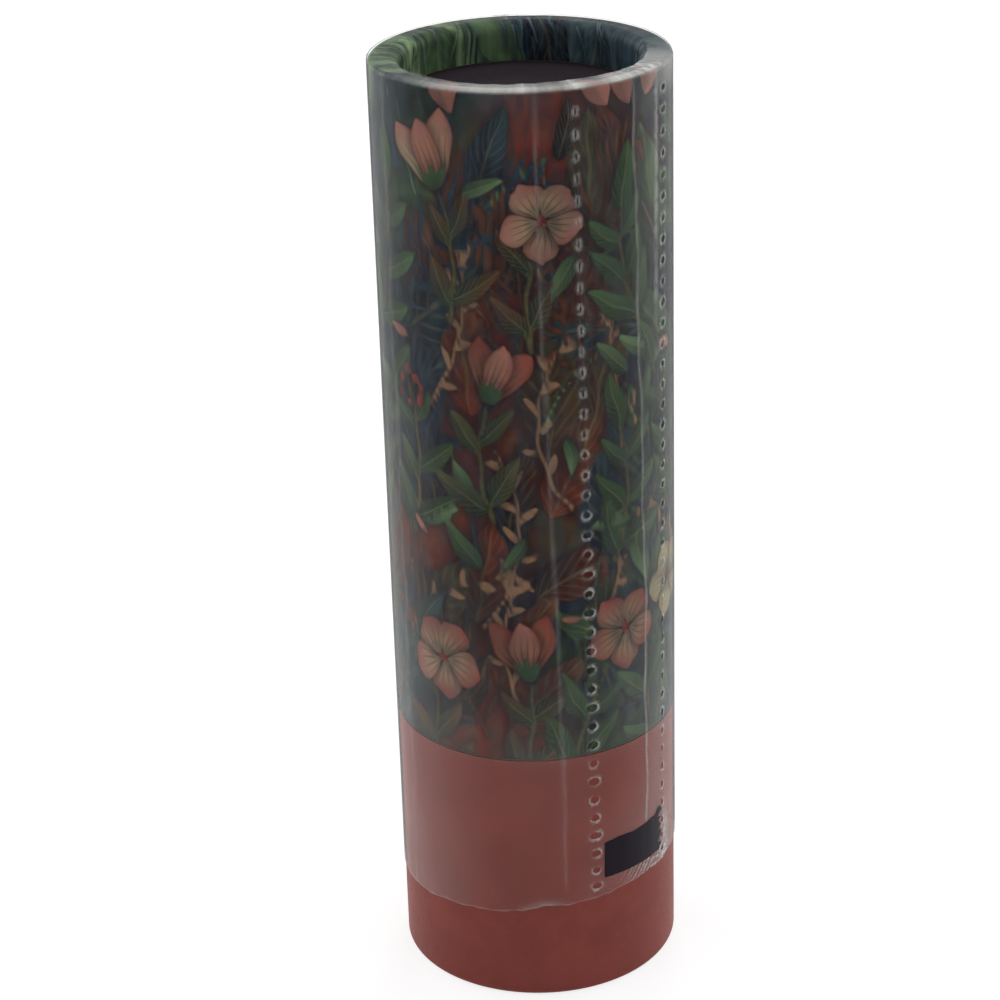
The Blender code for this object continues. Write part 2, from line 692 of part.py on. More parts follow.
def build_cap(twist_unit):
    """Makes the cap, which lifts off the collar."""
    board = plain_material("cap_board", KRAFT_BOARD, 0.9)
    pieces = [
        make_cap_wrap(plain_material("printed_paper", PRINTED_PAPER, 0.5)),
        make_cap_tube(board),
        make_cap_liner(board),
        make_cap_disc(plain_material("dark_board", DARK_BOARD, 0.8)),
    ]
    return gather("cap_axis", pieces, twist_unit)


def build_film(cap):
    """Makes the film, which comes off over the cap, and its tear strip."""
    film = plain_material("clear_film", CLEAR_FILM, 0.1, alpha=0.2)
    sleeve_axis = gather("film_axis", [make_film_sleeve(film)], cap)
    gather("strip_axis", [make_tear_strip(film)], sleeve_axis)


def main():
    """Makes the lipstick, body by body from the base outwards."""
    base = build_base()
    build_carrier(base)
    twist_unit = build_twist_unit(base)
    cap = build_cap(twist_unit)
    build_film(cap)


clear_scene()
PIECES = new_collection("lipstick")
CUTTERS = new_collection("cutters")
main()
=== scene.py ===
"""Looks of a twist-up lipstick in a paperboard tube, sealed in clear film with a tear strip.

Units are metres and +Z is up. Angles round the tube are degrees from the side that faces the
viewer (-Y), positive towards the viewer's right (+X). The print on the cap is worked out on the
flat sheet of paper, in millimetres, and carried to the shader by attributes.
"""

import logging
import math
from dataclasses import dataclass, field, replace
from enum import Enum
from typing import Any, Callable, Dict, List, Optional, Sequence, Tuple, Union

import bmesh
import bpy
import numpy as np
from mathutils import Matrix, Vector


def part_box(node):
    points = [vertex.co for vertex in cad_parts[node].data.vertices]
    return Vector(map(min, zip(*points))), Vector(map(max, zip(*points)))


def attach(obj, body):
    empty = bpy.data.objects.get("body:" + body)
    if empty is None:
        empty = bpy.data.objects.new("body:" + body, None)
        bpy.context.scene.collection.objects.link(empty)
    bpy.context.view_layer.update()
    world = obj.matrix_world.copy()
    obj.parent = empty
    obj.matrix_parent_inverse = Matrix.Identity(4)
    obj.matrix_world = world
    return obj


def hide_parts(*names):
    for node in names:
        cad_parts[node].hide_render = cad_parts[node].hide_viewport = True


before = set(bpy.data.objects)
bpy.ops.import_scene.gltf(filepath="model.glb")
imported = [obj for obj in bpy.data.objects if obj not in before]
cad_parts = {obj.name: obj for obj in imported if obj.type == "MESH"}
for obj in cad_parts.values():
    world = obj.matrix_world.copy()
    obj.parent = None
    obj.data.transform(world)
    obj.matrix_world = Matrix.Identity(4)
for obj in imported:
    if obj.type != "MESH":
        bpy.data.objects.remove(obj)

logging.basicConfig(level=logging.INFO, format="%(name)s: %(message)s")
LOG = logging.getLogger("lipstick")

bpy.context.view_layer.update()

MM = 0.001
TURN = 2.0 * math.pi
SMOOTH_ANGLE = math.radians(35.0)
FILM_SMOOTH_ANGLE = math.radians(60.0)
MERGE_DISTANCE = 0.0000005

Colour = Tuple[float, float, float]
Outline = List[Tuple[float, float]]
Field = np.ndarray
Place = Tuple[float, float]
Swell = Tuple[float, float, float]
Waves = Sequence[Tuple[float, float, float, float]]
Wired = Union[float, Tuple[float, ...], "Wire"]


def srgb(red: int, green: int, blue: int) -> Colour:
    """Turns a colour as a picture shows it, 0 to 255, into linear light.

    Args:
        red: Red, 0 to 255.
        green: Green, 0 to 255.
        blue: Blue, 0 to 255.

    Returns:
        The colour in linear light, 0 to 1.
    """
    shares = [value / 255.0 for value in (red, green, blue)]
    return tuple(
        share / 12.92 if share <= 0.04045 else ((share + 0.055) / 1.055) ** 2.4 for share in shares
    )


def smooth_step(values: Field, low: float, high: float) -> Field:
    """Rises smoothly from 0 at low to 1 at high.

    Args:
        values: The values to map.
        low: Where the rise starts.
        high: Where it ends.

    Returns:
        The mapped values.
    """
    share = np.clip((values - low) / (high - low), 0.0, 1.0)
    return share * share * (3.0 - 2.0 * share)


def bump_at(values: Field, centre: Union[float, Field], width: float) -> Field:
    """A soft bump of height 1 at centre, one width wide on each side."""
    return np.exp(-(((values - centre) / width) ** 2))


def swell(values: Field, form: Swell) -> Field:
    """A soft bump, given as its size, its centre and its width."""
    size, centre, width = form
    return size * bump_at(values, centre, width)


def waves(table: Waves, turn: Field, height: Union[float, Field] = 0.0) -> Field:
    """Adds waves round the tube.

    Args:
        table: Size, count round the tube, slant and phase of each wave.
        turn: Angles round the tube, in radians.
        height: Heights, for slanting waves.

    Returns:
        Their sum at each place.
    """
    return sum(size * np.sin(count * turn + slant * height + phase) for size, count, slant, phase in table)


def moved_place(place: Place, heading: float, reach: float) -> Place:
    """A place some way off, its heading in degrees from upright, positive to the right."""
    turn = math.radians(heading)
    return place[0] + reach * math.sin(turn), place[1] + reach * math.cos(turn)


KRAFT = srgb(176, 150, 120)
KRAFT_FLECK = srgb(118, 92, 66)
BRICK = srgb(134, 66, 59)


class Slot(str, Enum):
    """The record's material slots."""

    PRINTED_PAPER = "printed_paper"
    BRICK_PAPER = "brick_paper"
    KRAFT_BOARD = "kraft_board"
    BRICK_BOARD = "brick_board"
    DARK_BOARD = "dark_board"
    BLACK_PLASTIC = "black_plastic"
    PALE_PLASTIC = "pale_plastic"
    DARK_RUBBER = "dark_rubber"
    WAX = "brick_rose_wax"
    CLEAR_FILM = "clear_film"


class Body(str, Enum):
    """The bodies that pieces ride on."""

    BASE = "base"
    TWIST = "twist_unit"
    CARRIER = "carrier"
    CAP = "cap"
    FILM = "film"
    STRIP = "strip"


# Mesh tools, used as by hand


def deselect_all() -> None:
    """Leaves nothing selected, so that an operator acts only on what comes next."""
    if bpy.context.mode != "OBJECT":
        bpy.ops.object.mode_set(mode="OBJECT")
    for selected in list(bpy.context.selected_objects):
        selected.select_set(False)


def activate(piece: bpy.types.Object) -> None:
    """Selects one piece and makes it the active one.

    Args:
        piece: The piece.
    """
    deselect_all()
    piece.select_set(True)
    bpy.context.view_layer.objects.active = piece


def select_vertices(piece: bpy.types.Object, test: Callable[[Vector], bool]) -> None:
    """Selects the vertices whose place passes a test, in edit mode.

    Args:
        piece: The piece in edit mode.
        test: Says whether a place is wanted.
    """
    bpy.ops.mesh.select_mode(type="VERT")
    edited = bmesh.from_edit_mesh(piece.data)
    for vertex in edited.verts:
        vertex.select = bool(test(vertex.co))
    edited.select_flush_mode()
    edited.select_flush(True)
    bmesh.update_edit_mesh(piece.data)


def finish_mesh(piece: bpy.types.Object, name: str) -> bpy.types.Object:
    """Names a piece, closes its doubles, turns its faces out and shades it smooth.

    Args:
        piece: The piece, in object mode.
        name: The name it gets.

    Returns:
        The same piece.
    """
    activate(piece)
    bpy.ops.object.mode_set(mode="EDIT")
    bpy.ops.mesh.select_all(action="SELECT")
    bpy.ops.mesh.remove_doubles(threshold=MERGE_DISTANCE)
    bpy.ops.mesh.normals_make_consistent(inside=False)
    bpy.ops.object.mode_set(mode="OBJECT")
    bpy.ops.object.shade_smooth_by_angle(angle=SMOOTH_ANGLE)
    piece.name = name
    piece.data.name = name
    return piece


def arc(centre: Tuple[float, float], radius: float, start: float, end: float, steps: int = 8) -> Outline:
    """The points of a rounded corner of an outline.

    Args:
        centre: The corner's centre, as radius and height.
        radius: The corner's radius.
        start: Angle of the first point, in degrees.
        end: Angle of the last point, in degrees.
        steps: Number of steps from one to the other.

    Returns:
        The points, both ends included.
    """
    angles = [math.radians(start + (end - start) * step / steps) for step in range(steps + 1)]
    return [(centre[0] + radius * math.cos(a), centre[1] + radius * math.sin(a)) for a in angles]


def turned_piece(
    name: str, outline: Outline, segments: int, closed: bool = True,
    dense: Optional[Tuple[float, float, int]] = None, sweep: float = TURN
) -> bpy.types.Object:
    """Draws an outline by extruding one vertex and spins it about Z.

    Args:
        name: The piece's name.
        outline: Points as radius and height.
        segments: Number of faces round the piece.
        closed: Whether the outline returns to its first point.
        dense: Radius of an upright edge to divide, its top height and the number of cuts.
        sweep: How far it is spun, in radians; a half turn has its two ends filled.

    Returns:
        The finished piece.
    """
    deselect_all()
    first = outline[0]
    bpy.ops.mesh.primitive_plane_add(size=MM, location=(0.0, 0.0, 0.0))
    piece = bpy.context.active_object
    bpy.ops.object.mode_set(mode="EDIT")
    bpy.ops.mesh.merge(type="CENTER")
    bpy.ops.transform.translate(value=(first[0], 0.0, first[1]))
    stops = outline[1:] + ([first] if closed else [])
    here = first
    for stop in stops:
        step = (stop[0] - here[0], 0.0, stop[1] - here[1])
        bpy.ops.mesh.extrude_region_move(TRANSFORM_OT_translate={"value": step})
        here = stop
    if dense is not None:
        radius, top, cuts = dense
        near = 10.0 * MERGE_DISTANCE
        select_vertices(piece, lambda co: abs(co.x - radius) < near and co.z < top + near)
        bpy.ops.mesh.subdivide(number_cuts=cuts)
    bpy.ops.mesh.select_all(action="SELECT")
    bpy.ops.mesh.remove_doubles(threshold=MERGE_DISTANCE)
    bpy.ops.mesh.spin(steps=segments, angle=sweep, center=(0.0, 0.0, 0.0), axis=(0.0, 0.0, 1.0))
    if sweep < TURN:
        for side in (-1.0, 1.0):
            select_vertices(piece, lambda co: abs(co.y) < MERGE_DISTANCE and co.x * side > 0.0)
            bpy.ops.mesh.edge_face_add()
    bpy.ops.object.mode_set(mode="OBJECT")
    return finish_mesh(piece, name)


def coordinates(piece: bpy.types.Object) -> Field:
    """The places of a piece's vertices, one row each.

    Args:
        piece: A mesh piece.

    Returns:
        An array of three columns, in metres.
    """
    places = np.empty(len(piece.data.vertices) * 3, np.float64)
    piece.data.vertices.foreach_get("co", places)
    return places.reshape(-1, 3)


def place_vertices(piece: bpy.types.Object, places: Field) -> None:
    """Moves a piece's vertices to new places."""
    piece.data.vertices.foreach_set("co", places.astype(np.float32).ravel())
    piece.data.update()


def cylindrical(places: Field) -> Tuple[Field, Field, Field]:
    """Radius, angle in degrees from the viewer's side and height of each place.

    Args:
        places: Places, one row each.

    Returns:
        Three arrays, one value for each place.
    """
    radius = np.hypot(places[:, 0], places[:, 1])
    angle = np.degrees(np.arctan2(places[:, 0], -places[:, 1]))
    return radius, angle, places[:, 2]


def cartesian(radius: Field, angle: Field, height: Field) -> Field:
    """Places from radius, angle in degrees from the viewer's side and height."""
    turn = np.radians(angle)
    return np.stack([radius * np.sin(turn), -radius * np.cos(turn), height + 0.0 * turn], axis=1)


def write_attribute(piece: bpy.types.Object, name: str, values: Field) -> None:
    """Stores one value, vector or colour per vertex.

    Args:
        piece: The piece that carries the attribute.
        name: The attribute's name.
        values: One number per vertex, or a row of three, read as a colour.
    """
    if values.ndim == 1:
        attribute = piece.data.attributes.new(name, "FLOAT", "POINT")
        attribute.data.foreach_set("value", values.astype(np.float32))
        return
    attribute = piece.data.attributes.new(name, "FLOAT_VECTOR", "POINT")
    attribute.data.foreach_set("vector", values.astype(np.float32).ravel())


def smallest_radius(node: str) -> float:
    """The least distance of a CAD node's vertices from the axis."""
    return float(np.min(np.hypot(*coordinates(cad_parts[node])[:, :2].T)))


# Materials


NOISE_SPAN = (0.3, 0.7)
NOISE_ROUGHNESS = 0.55
WHITE = (1.0, 1.0, 1.0)


def scaled(colour: Colour, factor: float) -> Colour:
    """A colour made lighter or darker."""
    return tuple(factor * share for share in colour)


class Wire:
    """A node's output, joined to others by ordinary arithmetic."""

    def __init__(self, sheet: "NodeSheet", socket: bpy.types.NodeSocket) -> None:
        """Keeps an output and the sheet that it is on."""
        self.sheet = sheet
        self.socket = socket

    def __add__(self, other: Wired) -> "Wire":
        """The sum with another value."""
        return self.sheet.maths("ADD", self, other)

    def __sub__(self, other: Wired) -> "Wire":
        """The difference from another value."""
        return self.sheet.maths("SUBTRACT", self, other)

    def __mul__(self, other: Wired) -> "Wire":
        """The product with another value."""
        return self.sheet.maths("MULTIPLY", self, other)

    def __pow__(self, power: float) -> "Wire":
        """A power of the value."""
        return self.sheet.maths("POWER", self, power)

    def __abs__(self) -> "Wire":
        """The value without its sign."""
        return self.sheet.maths("ABSOLUTE", self)

    def mapped(self, low: float, high: float, start: float = 0.0, end: float = 1.0) -> "Wire":
        """Maps the value smoothly from low..high to start..end."""
        inputs = {"Value": self, "From Min": low, "From Max": high, "To Min": start, "To Max": end}
        return self.sheet.wire("MapRange", inputs, interpolation_type="SMOOTHSTEP")

    def around(self, middle: float, swing: float) -> "Wire":
        """Maps a noise to values that swing round a middle one."""
        return self.mapped(*NOISE_SPAN, middle - swing, middle + swing)


class NodeSheet:
    """The nodes of one material or world, added and joined with a call each."""

    def __init__(self, owner: Union[bpy.types.Material, bpy.types.World]) -> None:
        """Opens the owner's nodes.

        Args:
            owner: The material or world to lay out.
        """
        owner.use_nodes = True
        self.owner = owner
        self.tree = owner.node_tree
        self.shader = self.tree.nodes.get("Principled BSDF")
        self.place: Optional[Wire] = None

    def put(self, socket: bpy.types.NodeSocket, value: Wired) -> None:
        """Joins a socket to a wire, or sets its value.

        Args:
            socket: The input to fill.
            value: A wire, a number or a colour.
        """
        if isinstance(value, Wire):
            self.tree.links.new(value.socket, socket)
        elif isinstance(value, tuple) and socket.type == "RGBA" and len(value) == 3:
            socket.default_value = (*value, 1.0)
        else:
            socket.default_value = value

    def wire(
        self, kind: str, inputs: Dict[Union[str, int], Wired], output: Union[str, int] = 0, **settings: object
    ) -> Wire:
        """Adds a node.

        Args:
            kind: Its type, without the ShaderNode in front.
            inputs: Values or wires for its inputs, by name or number.
            output: Name or number of the output that is wanted.
            settings: The node's own properties.

        Returns:
            The wire from that output.
        """
        added = self.tree.nodes.new("ShaderNode" + kind)
        for key, value in settings.items():
            setattr(added, key, value)
        for key, value in inputs.items():
            self.put(added.inputs[key], value)
        return Wire(self, added.outputs[output])

    def set_shader(self, **values: Wired) -> None:
        """Sets inputs of the Principled shader, their names with _ for a space."""
        for key, value in values.items():
            self.put(self.shader.inputs[key.replace("_", " ")], value)

    def principled(self) -> Wire:
        """The Principled shader's output."""
        return Wire(self, self.shader.outputs[0])

    def finish(self, share: Wire, first: Wire, second: Wire) -> None:
        """Sends a mix of two shaders to the material's output."""
        both = self.wire("MixShader", {0: share, 1: first, 2: second})
        self.put(self.tree.nodes["Material Output"].inputs["Surface"], both)

    def maths(self, operation: str, *values: Wired, clamp: bool = False) -> Wire:
        """Adds a Math node and returns its result."""
        return self.wire("Math", dict(enumerate(values)), operation=operation, use_clamp=clamp)

    def mix(self, share: Wired, first: Wired, second: Wired) -> Wire:
        """Mixes two colours and returns the result."""
        return self.wire("Mix", {0: share, 6: first, 7: second}, 2, data_type="RGBA", blend_type="MIX")

    def attribute(self, name: str, output: str = "Vector") -> Wire:
        """Reads a vertex attribute."""
        return self.wire("Attribute", {}, output, attribute_name=name)

    def split(self, vector: Wire) -> List[Wire]:
        """The three numbers of a vector."""
        first = self.wire("SeparateXYZ", {0: vector})
        return [Wire(self, output) for output in first.socket.node.outputs]

    def object_place(self) -> Wire:
        """The object's own coordinates.

        Returns:
            The coordinates' wire, made once.
        """
        if self.place is None:
            self.place = self.wire("TexCoord", {}, "Object")
        return self.place

    def noise(self, size: float, detail: float = 2.0, stretch: Tuple[float, float, float] = WHITE) -> Wire:
        """Adds a noise pattern.

        Args:
            size: Size of its largest features.
            detail: Number of finer octaves.
            stretch: Scale of the coordinates along X, Y and Z.

        Returns:
            Its value, about 0.5 on average.
        """
        place = self.object_place()
        if stretch != WHITE:
            place = self.wire("Mapping", {"Vector": place, "Scale": stretch})
        inputs = {"Vector": place, "Scale": 1.0 / size, "Detail": detail, "Roughness": NOISE_ROUGHNESS}
        return self.wire("TexNoise", inputs)

    def bump(self, height: Wired, depth: float) -> Wire:
        """A normal that is bumped to some depth in metres."""
        return self.wire("Bump", {"Height": height, "Distance": depth, "Strength": 1.0})


@dataclass(frozen=True)
class Finish:
    """A look that builds its own material."""

    name: str

    def material(self) -> bpy.types.Material:
        """Builds the material.

        Returns:
            The finished material.
        """
        sheet = NodeSheet(bpy.data.materials.new(self.name))
        self.lay(sheet)
        return sheet.owner

    def lay(self, sheet: NodeSheet) -> None:
        """Lays the look out on a sheet of nodes."""
        raise NotImplementedError


@dataclass(frozen=True)
class PaperFinish(Finish):
    """Coloured cover paper: a fine grain, faint clouds of colour and rubbed edges."""

    colour: Colour
    rubbed: Colour
    roughness: float = 0.5
    grain: float = 0.00009
    cloud: float = 0.004
    rub_height: float = 0.0
    rub_width: float = 0.0005
    depth: float = 0.000004

    def lay(self, sheet: NodeSheet) -> None:
        """Lays out the paper.

        Args:
            sheet: The material's nodes.
        """
        cloud = sheet.noise(self.cloud, 3.0)
        fibre = sheet.noise(self.grain * 5.0, 4.0, (1.0, 1.0, 2.4))
        base = sheet.mix(cloud.mapped(0.35, 0.65), scaled(self.colour, 0.93), scaled(self.colour, 1.06))
        base = sheet.mix(fibre.mapped(0.55, 0.8, 0.0, 0.16), base, self.rubbed)
        away = abs(sheet.split(sheet.object_place())[2] - self.rub_height) + cloud * self.rub_width
        worn = away.mapped(self.rub_width * 0.5, self.rub_width * 1.4, 0.4, 0.0)
        sheet.set_shader(
            Base_Color=sheet.mix(worn, base, self.rubbed), Roughness=fibre.around(self.roughness, 0.06),
            Specular_IOR_Level=0.12, Normal=sheet.bump(sheet.noise(self.grain) + fibre * 1.6, self.depth)
        )


@dataclass(frozen=True)
class BoardFinish(Finish):
    """Raw paperboard, with its layers showing at a cut edge."""

    colour: Colour
    fleck: Colour
    roughness: float = 0.85
    layer: float = 0.00035
    depth: float = 0.00003

    def lay(self, sheet: NodeSheet) -> None:
        """Lays out the board.

        Args:
            sheet: The material's nodes.
        """
        east, north, _ = sheet.split(sheet.object_place())
        radius = sheet.maths("SQRT", east**2.0 + north**2.0) + sheet.noise(0.002) * self.layer
        rings = sheet.maths("SINE", sheet.maths("DIVIDE", radius, self.layer / TURN))
        fibre = sheet.noise(0.00022, 4.0)
        base = sheet.mix(rings.mapped(-1.0, 1.0), scaled(self.colour, 0.85), self.colour)
        sheet.set_shader(
            Base_Color=sheet.mix(fibre.mapped(0.6, 0.72, 0.0, 0.5), base, self.fleck), Specular_IOR_Level=0.1,
            Roughness=fibre.mapped(*NOISE_SPAN, self.roughness - 0.08, 0.98),
            Normal=sheet.bump(fibre + rings * 0.15, self.depth)
        )


@dataclass(frozen=True)
class PlasticFinish(Finish):
    """Moulded plastic or rubber, with a faint moulded unevenness."""

    colour: Colour
    roughness: float
    coat: float = 0.0
    ripple: float = 0.000004

    def lay(self, sheet: NodeSheet) -> None:
        """Lays out the plastic."""
        cloud = sheet.noise(0.003)
        sheet.set_shader(
            Base_Color=sheet.mix(cloud, scaled(self.colour, 0.9), scaled(self.colour, 1.1)),
            Roughness=sheet.noise(0.00025).around(self.roughness, 0.15 * self.roughness),
            Normal=sheet.bump(cloud, self.ripple), Coat_Weight=self.coat, Coat_Roughness=0.06,
            Specular_IOR_Level=0.35
        )


@dataclass(frozen=True)
class WaxFinish(Finish):
    """The lipstick's own wax: satin, a little translucent, with fine pigment."""

    colour: Colour
    deep: Colour
    roughness: float = 0.34
    depth: float = 0.000005

    def lay(self, sheet: NodeSheet) -> None:
        """Lays out the wax.

        Args:
            sheet: The material's nodes.
        """
        cloud = sheet.noise(0.0022, 3.0)
        grain = sheet.noise(0.00015, 3.0)
        sheet.set_shader(
            Base_Color=sheet.mix(cloud.mapped(*NOISE_SPAN), self.deep, self.colour),
            Roughness=grain.mapped(*NOISE_SPAN, self.roughness - 0.05, self.roughness + 0.08),
            Subsurface_Weight=0.12, Subsurface_Radius=(0.0012, 0.0004, 0.0003), Subsurface_Scale=0.5,
            Coat_Weight=0.15, Coat_Roughness=0.2, Normal=sheet.bump(grain + cloud * 3.0, self.depth)
        )


@dataclass(frozen=True)
class FilmFinish(Finish):
    """Clear shrink film: see-through, glossy, white at folds, with a printed black mark.

    The white at folds, creases, torn rims and the lower edge is partly the film's own whitening
    and partly painted highlight. A vertex attribute says how white a point is painted, smooth and
    torn, and mark where it lies on the mark.
    """

    haze: float = 0.0016
    # Colour of the film's white: partly its own whitening, partly painted highlight.
    milk_and_highlight: Colour = srgb(226, 226, 222)
    ink: Colour = srgb(20, 10, 25)
    tint: Colour = (0.985, 0.985, 0.985)
    head_on: float = 0.001
    flank: float = 0.085
    edge_on: float = 0.05
    foot: float = 0.008
    crest: float = 0.075
    gleams: Tuple[float, float] = (1.15, 0.62)
    lip_gleam: float = 0.2
    slack_start: float = 0.0205
    slack_end: float = 0.034
    slack: float = 0.022
    low_haze: float = 0.010
    slit_radius: float = 0.0113
    rim_start: float = 0.80
    rim_end: float = 0.93
    rim_tint: Colour = srgb(188, 190, 190)
    roughness: float = 0.12
    depth: float = 0.00002

    def lay(self, sheet: NodeSheet) -> None:
        """Lays out a clear pane that is glossy by the angle of view, under the white and the mark; the white is
        partly the film's whitening and partly painted highlight.

        Args:
            sheet: The material's nodes.
        """
        cloud = sheet.noise(0.006, 3.0, (1.0, 1.0, 0.5))
        streak = sheet.noise(0.0013, 2.0, (1.0, 1.0, 0.10))
        height = sheet.split(sheet.object_place())[2]
        facing = sheet.wire("LayerWeight", {"Blend": 0.5}, "Facing")
        bump = sheet.bump(cloud * 2.0 + streak, self.depth)
        gloss = sheet.wire("BsdfAnisotropic", {"Color": WHITE, "Roughness": self.roughness, "Normal": bump})
        tint = sheet.mix(facing.mapped(self.rim_start, self.rim_end), self.tint, self.rim_tint)
        clear = sheet.wire("BsdfTransparent", {"Color": tint})
        mirror = self.mirror(sheet, facing, cloud)
        pane = sheet.wire("MixShader", {0: mirror, 1: clear, 2: gloss})
        # The white read here is partly the film's own whitening and partly painted highlight.
        smooth, torn, _ = sheet.split(sheet.attribute("whitening_and_highlight"))
        tatters = sheet.noise(0.00040).mapped(0.35, 0.6, 0.35, 1.15)
        haze = (cloud + streak * 0.5).mapped(0.6, 0.95, 0.3 * self.haze, 3.0 * self.haze)
        start, end = self.slack_start, self.slack_end
        loose = height.mapped(start, start + 0.002) * height.mapped(start + 0.003, end, self.slack, 0.0)
        slack = loose + height.mapped(start, start + 0.006, self.low_haze, 0.0)
        haze = slack * cloud.around(1.0, 0.3) + haze
        amount = sheet.maths("MULTIPLY_ADD", torn, tatters, smooth + haze, clamp=True)
        mark = self.printed_mark(sheet)
        colour = sheet.mix(mark.mapped(0.0, 0.2), self.milk_and_highlight, self.ink)
        sheet.set_shader(Base_Color=colour, Roughness=0.35, Normal=bump, Specular_IOR_Level=0.1)
        sheet.finish(sheet.maths("MAXIMUM", amount, mark), pane, sheet.principled())

    def mirror(self, sheet: NodeSheet, facing: Wire, cloud: Wire) -> Wire:
        """How much the film mirrors at each angle of view: not on the walls of its cuts.

        Args:
            sheet: The material's nodes.
            facing: How edge-on the film is seen.
            cloud: A slow unevenness.

        Returns:
            The share of gloss.
        """
        east, north, height = sheet.split(sheet.object_place())
        along, away, upward = sheet.split(sheet.wire("NewGeometry", {}, "Normal"))
        askew = abs(east * away - north * along)
        open_face = askew.mapped(0.5 * self.slit_radius, 0.9 * self.slit_radius, 1.0, 0.0)
        shrunk = height.mapped(self.foot, self.crest, *self.gleams)
        shrunk = shrunk * upward.mapped(0.2, 0.95, 1.0, self.lip_gleam)
        rise = facing**2.0 * (shrunk * cloud.around(self.flank, 0.25 * self.flank)) + self.head_on
        return sheet.maths("MULTIPLY_ADD", facing**9.0, self.edge_on, rise, clamp=True) * open_face

    def printed_mark(self, sheet: NodeSheet) -> Wire:
        """Is 1 inside the black mark: crisp to the left, torn to the right with a spike above.

        Args:
            sheet: The material's nodes.

        Returns:
            The mark's share, 0 to 1.
        """
        across, up, strip = sheet.split(sheet.attribute("mark"))
        rough = sheet.noise(0.0005, 3.0, (0.2, 0.2, 1.0)).mapped(0.38, 0.62, -0.13, 0.07)
        torn = rough + up.mapped(0.6, 1.05, 0.0, 0.05)
        fray = sheet.noise(0.0009).mapped(*NOISE_SPAN, -0.05, 0.05)
        rim = (across * -0.06 + up) + (fray + across.mapped(0.72, 0.98, 0.0, -0.34))
        sides = across.mapped(-1.0, -0.97) * (across - torn).mapped(0.97, 1.0, 1.0, 0.0)
        return sides * (up.mapped(-1.0, -0.95) * rim.mapped(0.96, 1.02, 1.0, 0.0)) * strip


# The print, worked out on the flat sheet


class Pattern(Enum):
    """What fine lines a layer of the print has inside its shapes."""

    VEINS = "veins"
    STREAKS = "streaks"
    NONE = "none"


@dataclass(frozen=True)
class Blade:
    """A leaf or petal on the flat sheet, in millimetres and degrees.

    The heading is from upright, positive to the right. The belly is where it is widest: under 1
    near the foot, over 1 near the tip.
    """

    foot: Tuple[float, float]
    heading: float
    length: float
    width: float
    belly: float
    bend: float
    foot_colour: Colour
    tip_colour: Colour
    blunt: float = 0.8


class FlatSheet:
    """The points of the paper laid flat, in millimetres, sorted by height for quick searches."""

    def __init__(self, places: Field, girth: float) -> None:
        """Sorts the points.

        Args:
            places: Place of each point on the flat sheet.
            girth: Width of the sheet, where it meets itself.
        """
        self.places = places
        self.girth = girth
        self.order = np.argsort(places[:, 1])
        self.heights = places[self.order, 1]

    def near(self, place: Tuple[float, float], reach: float) -> Tuple[Field, Field]:
        """Finds the points round a place, the short way round the tube.

        Args:
            place: The place on the sheet.
            reach: How far the points may lie from it.

        Returns:
            The points' numbers, and how far each lies from the place.
        """
        first, last = np.searchsorted(self.heights, (place[1] - reach, place[1] + reach))
        numbers = self.order[first:last]
        away = self.places[numbers] - np.array(place)
        away[:, 0] = (away[:, 0] + 0.5 * self.girth) % self.girth - 0.5 * self.girth
        close = np.hypot(away[:, 0], away[:, 1]) < reach
        return numbers[close], away[close]


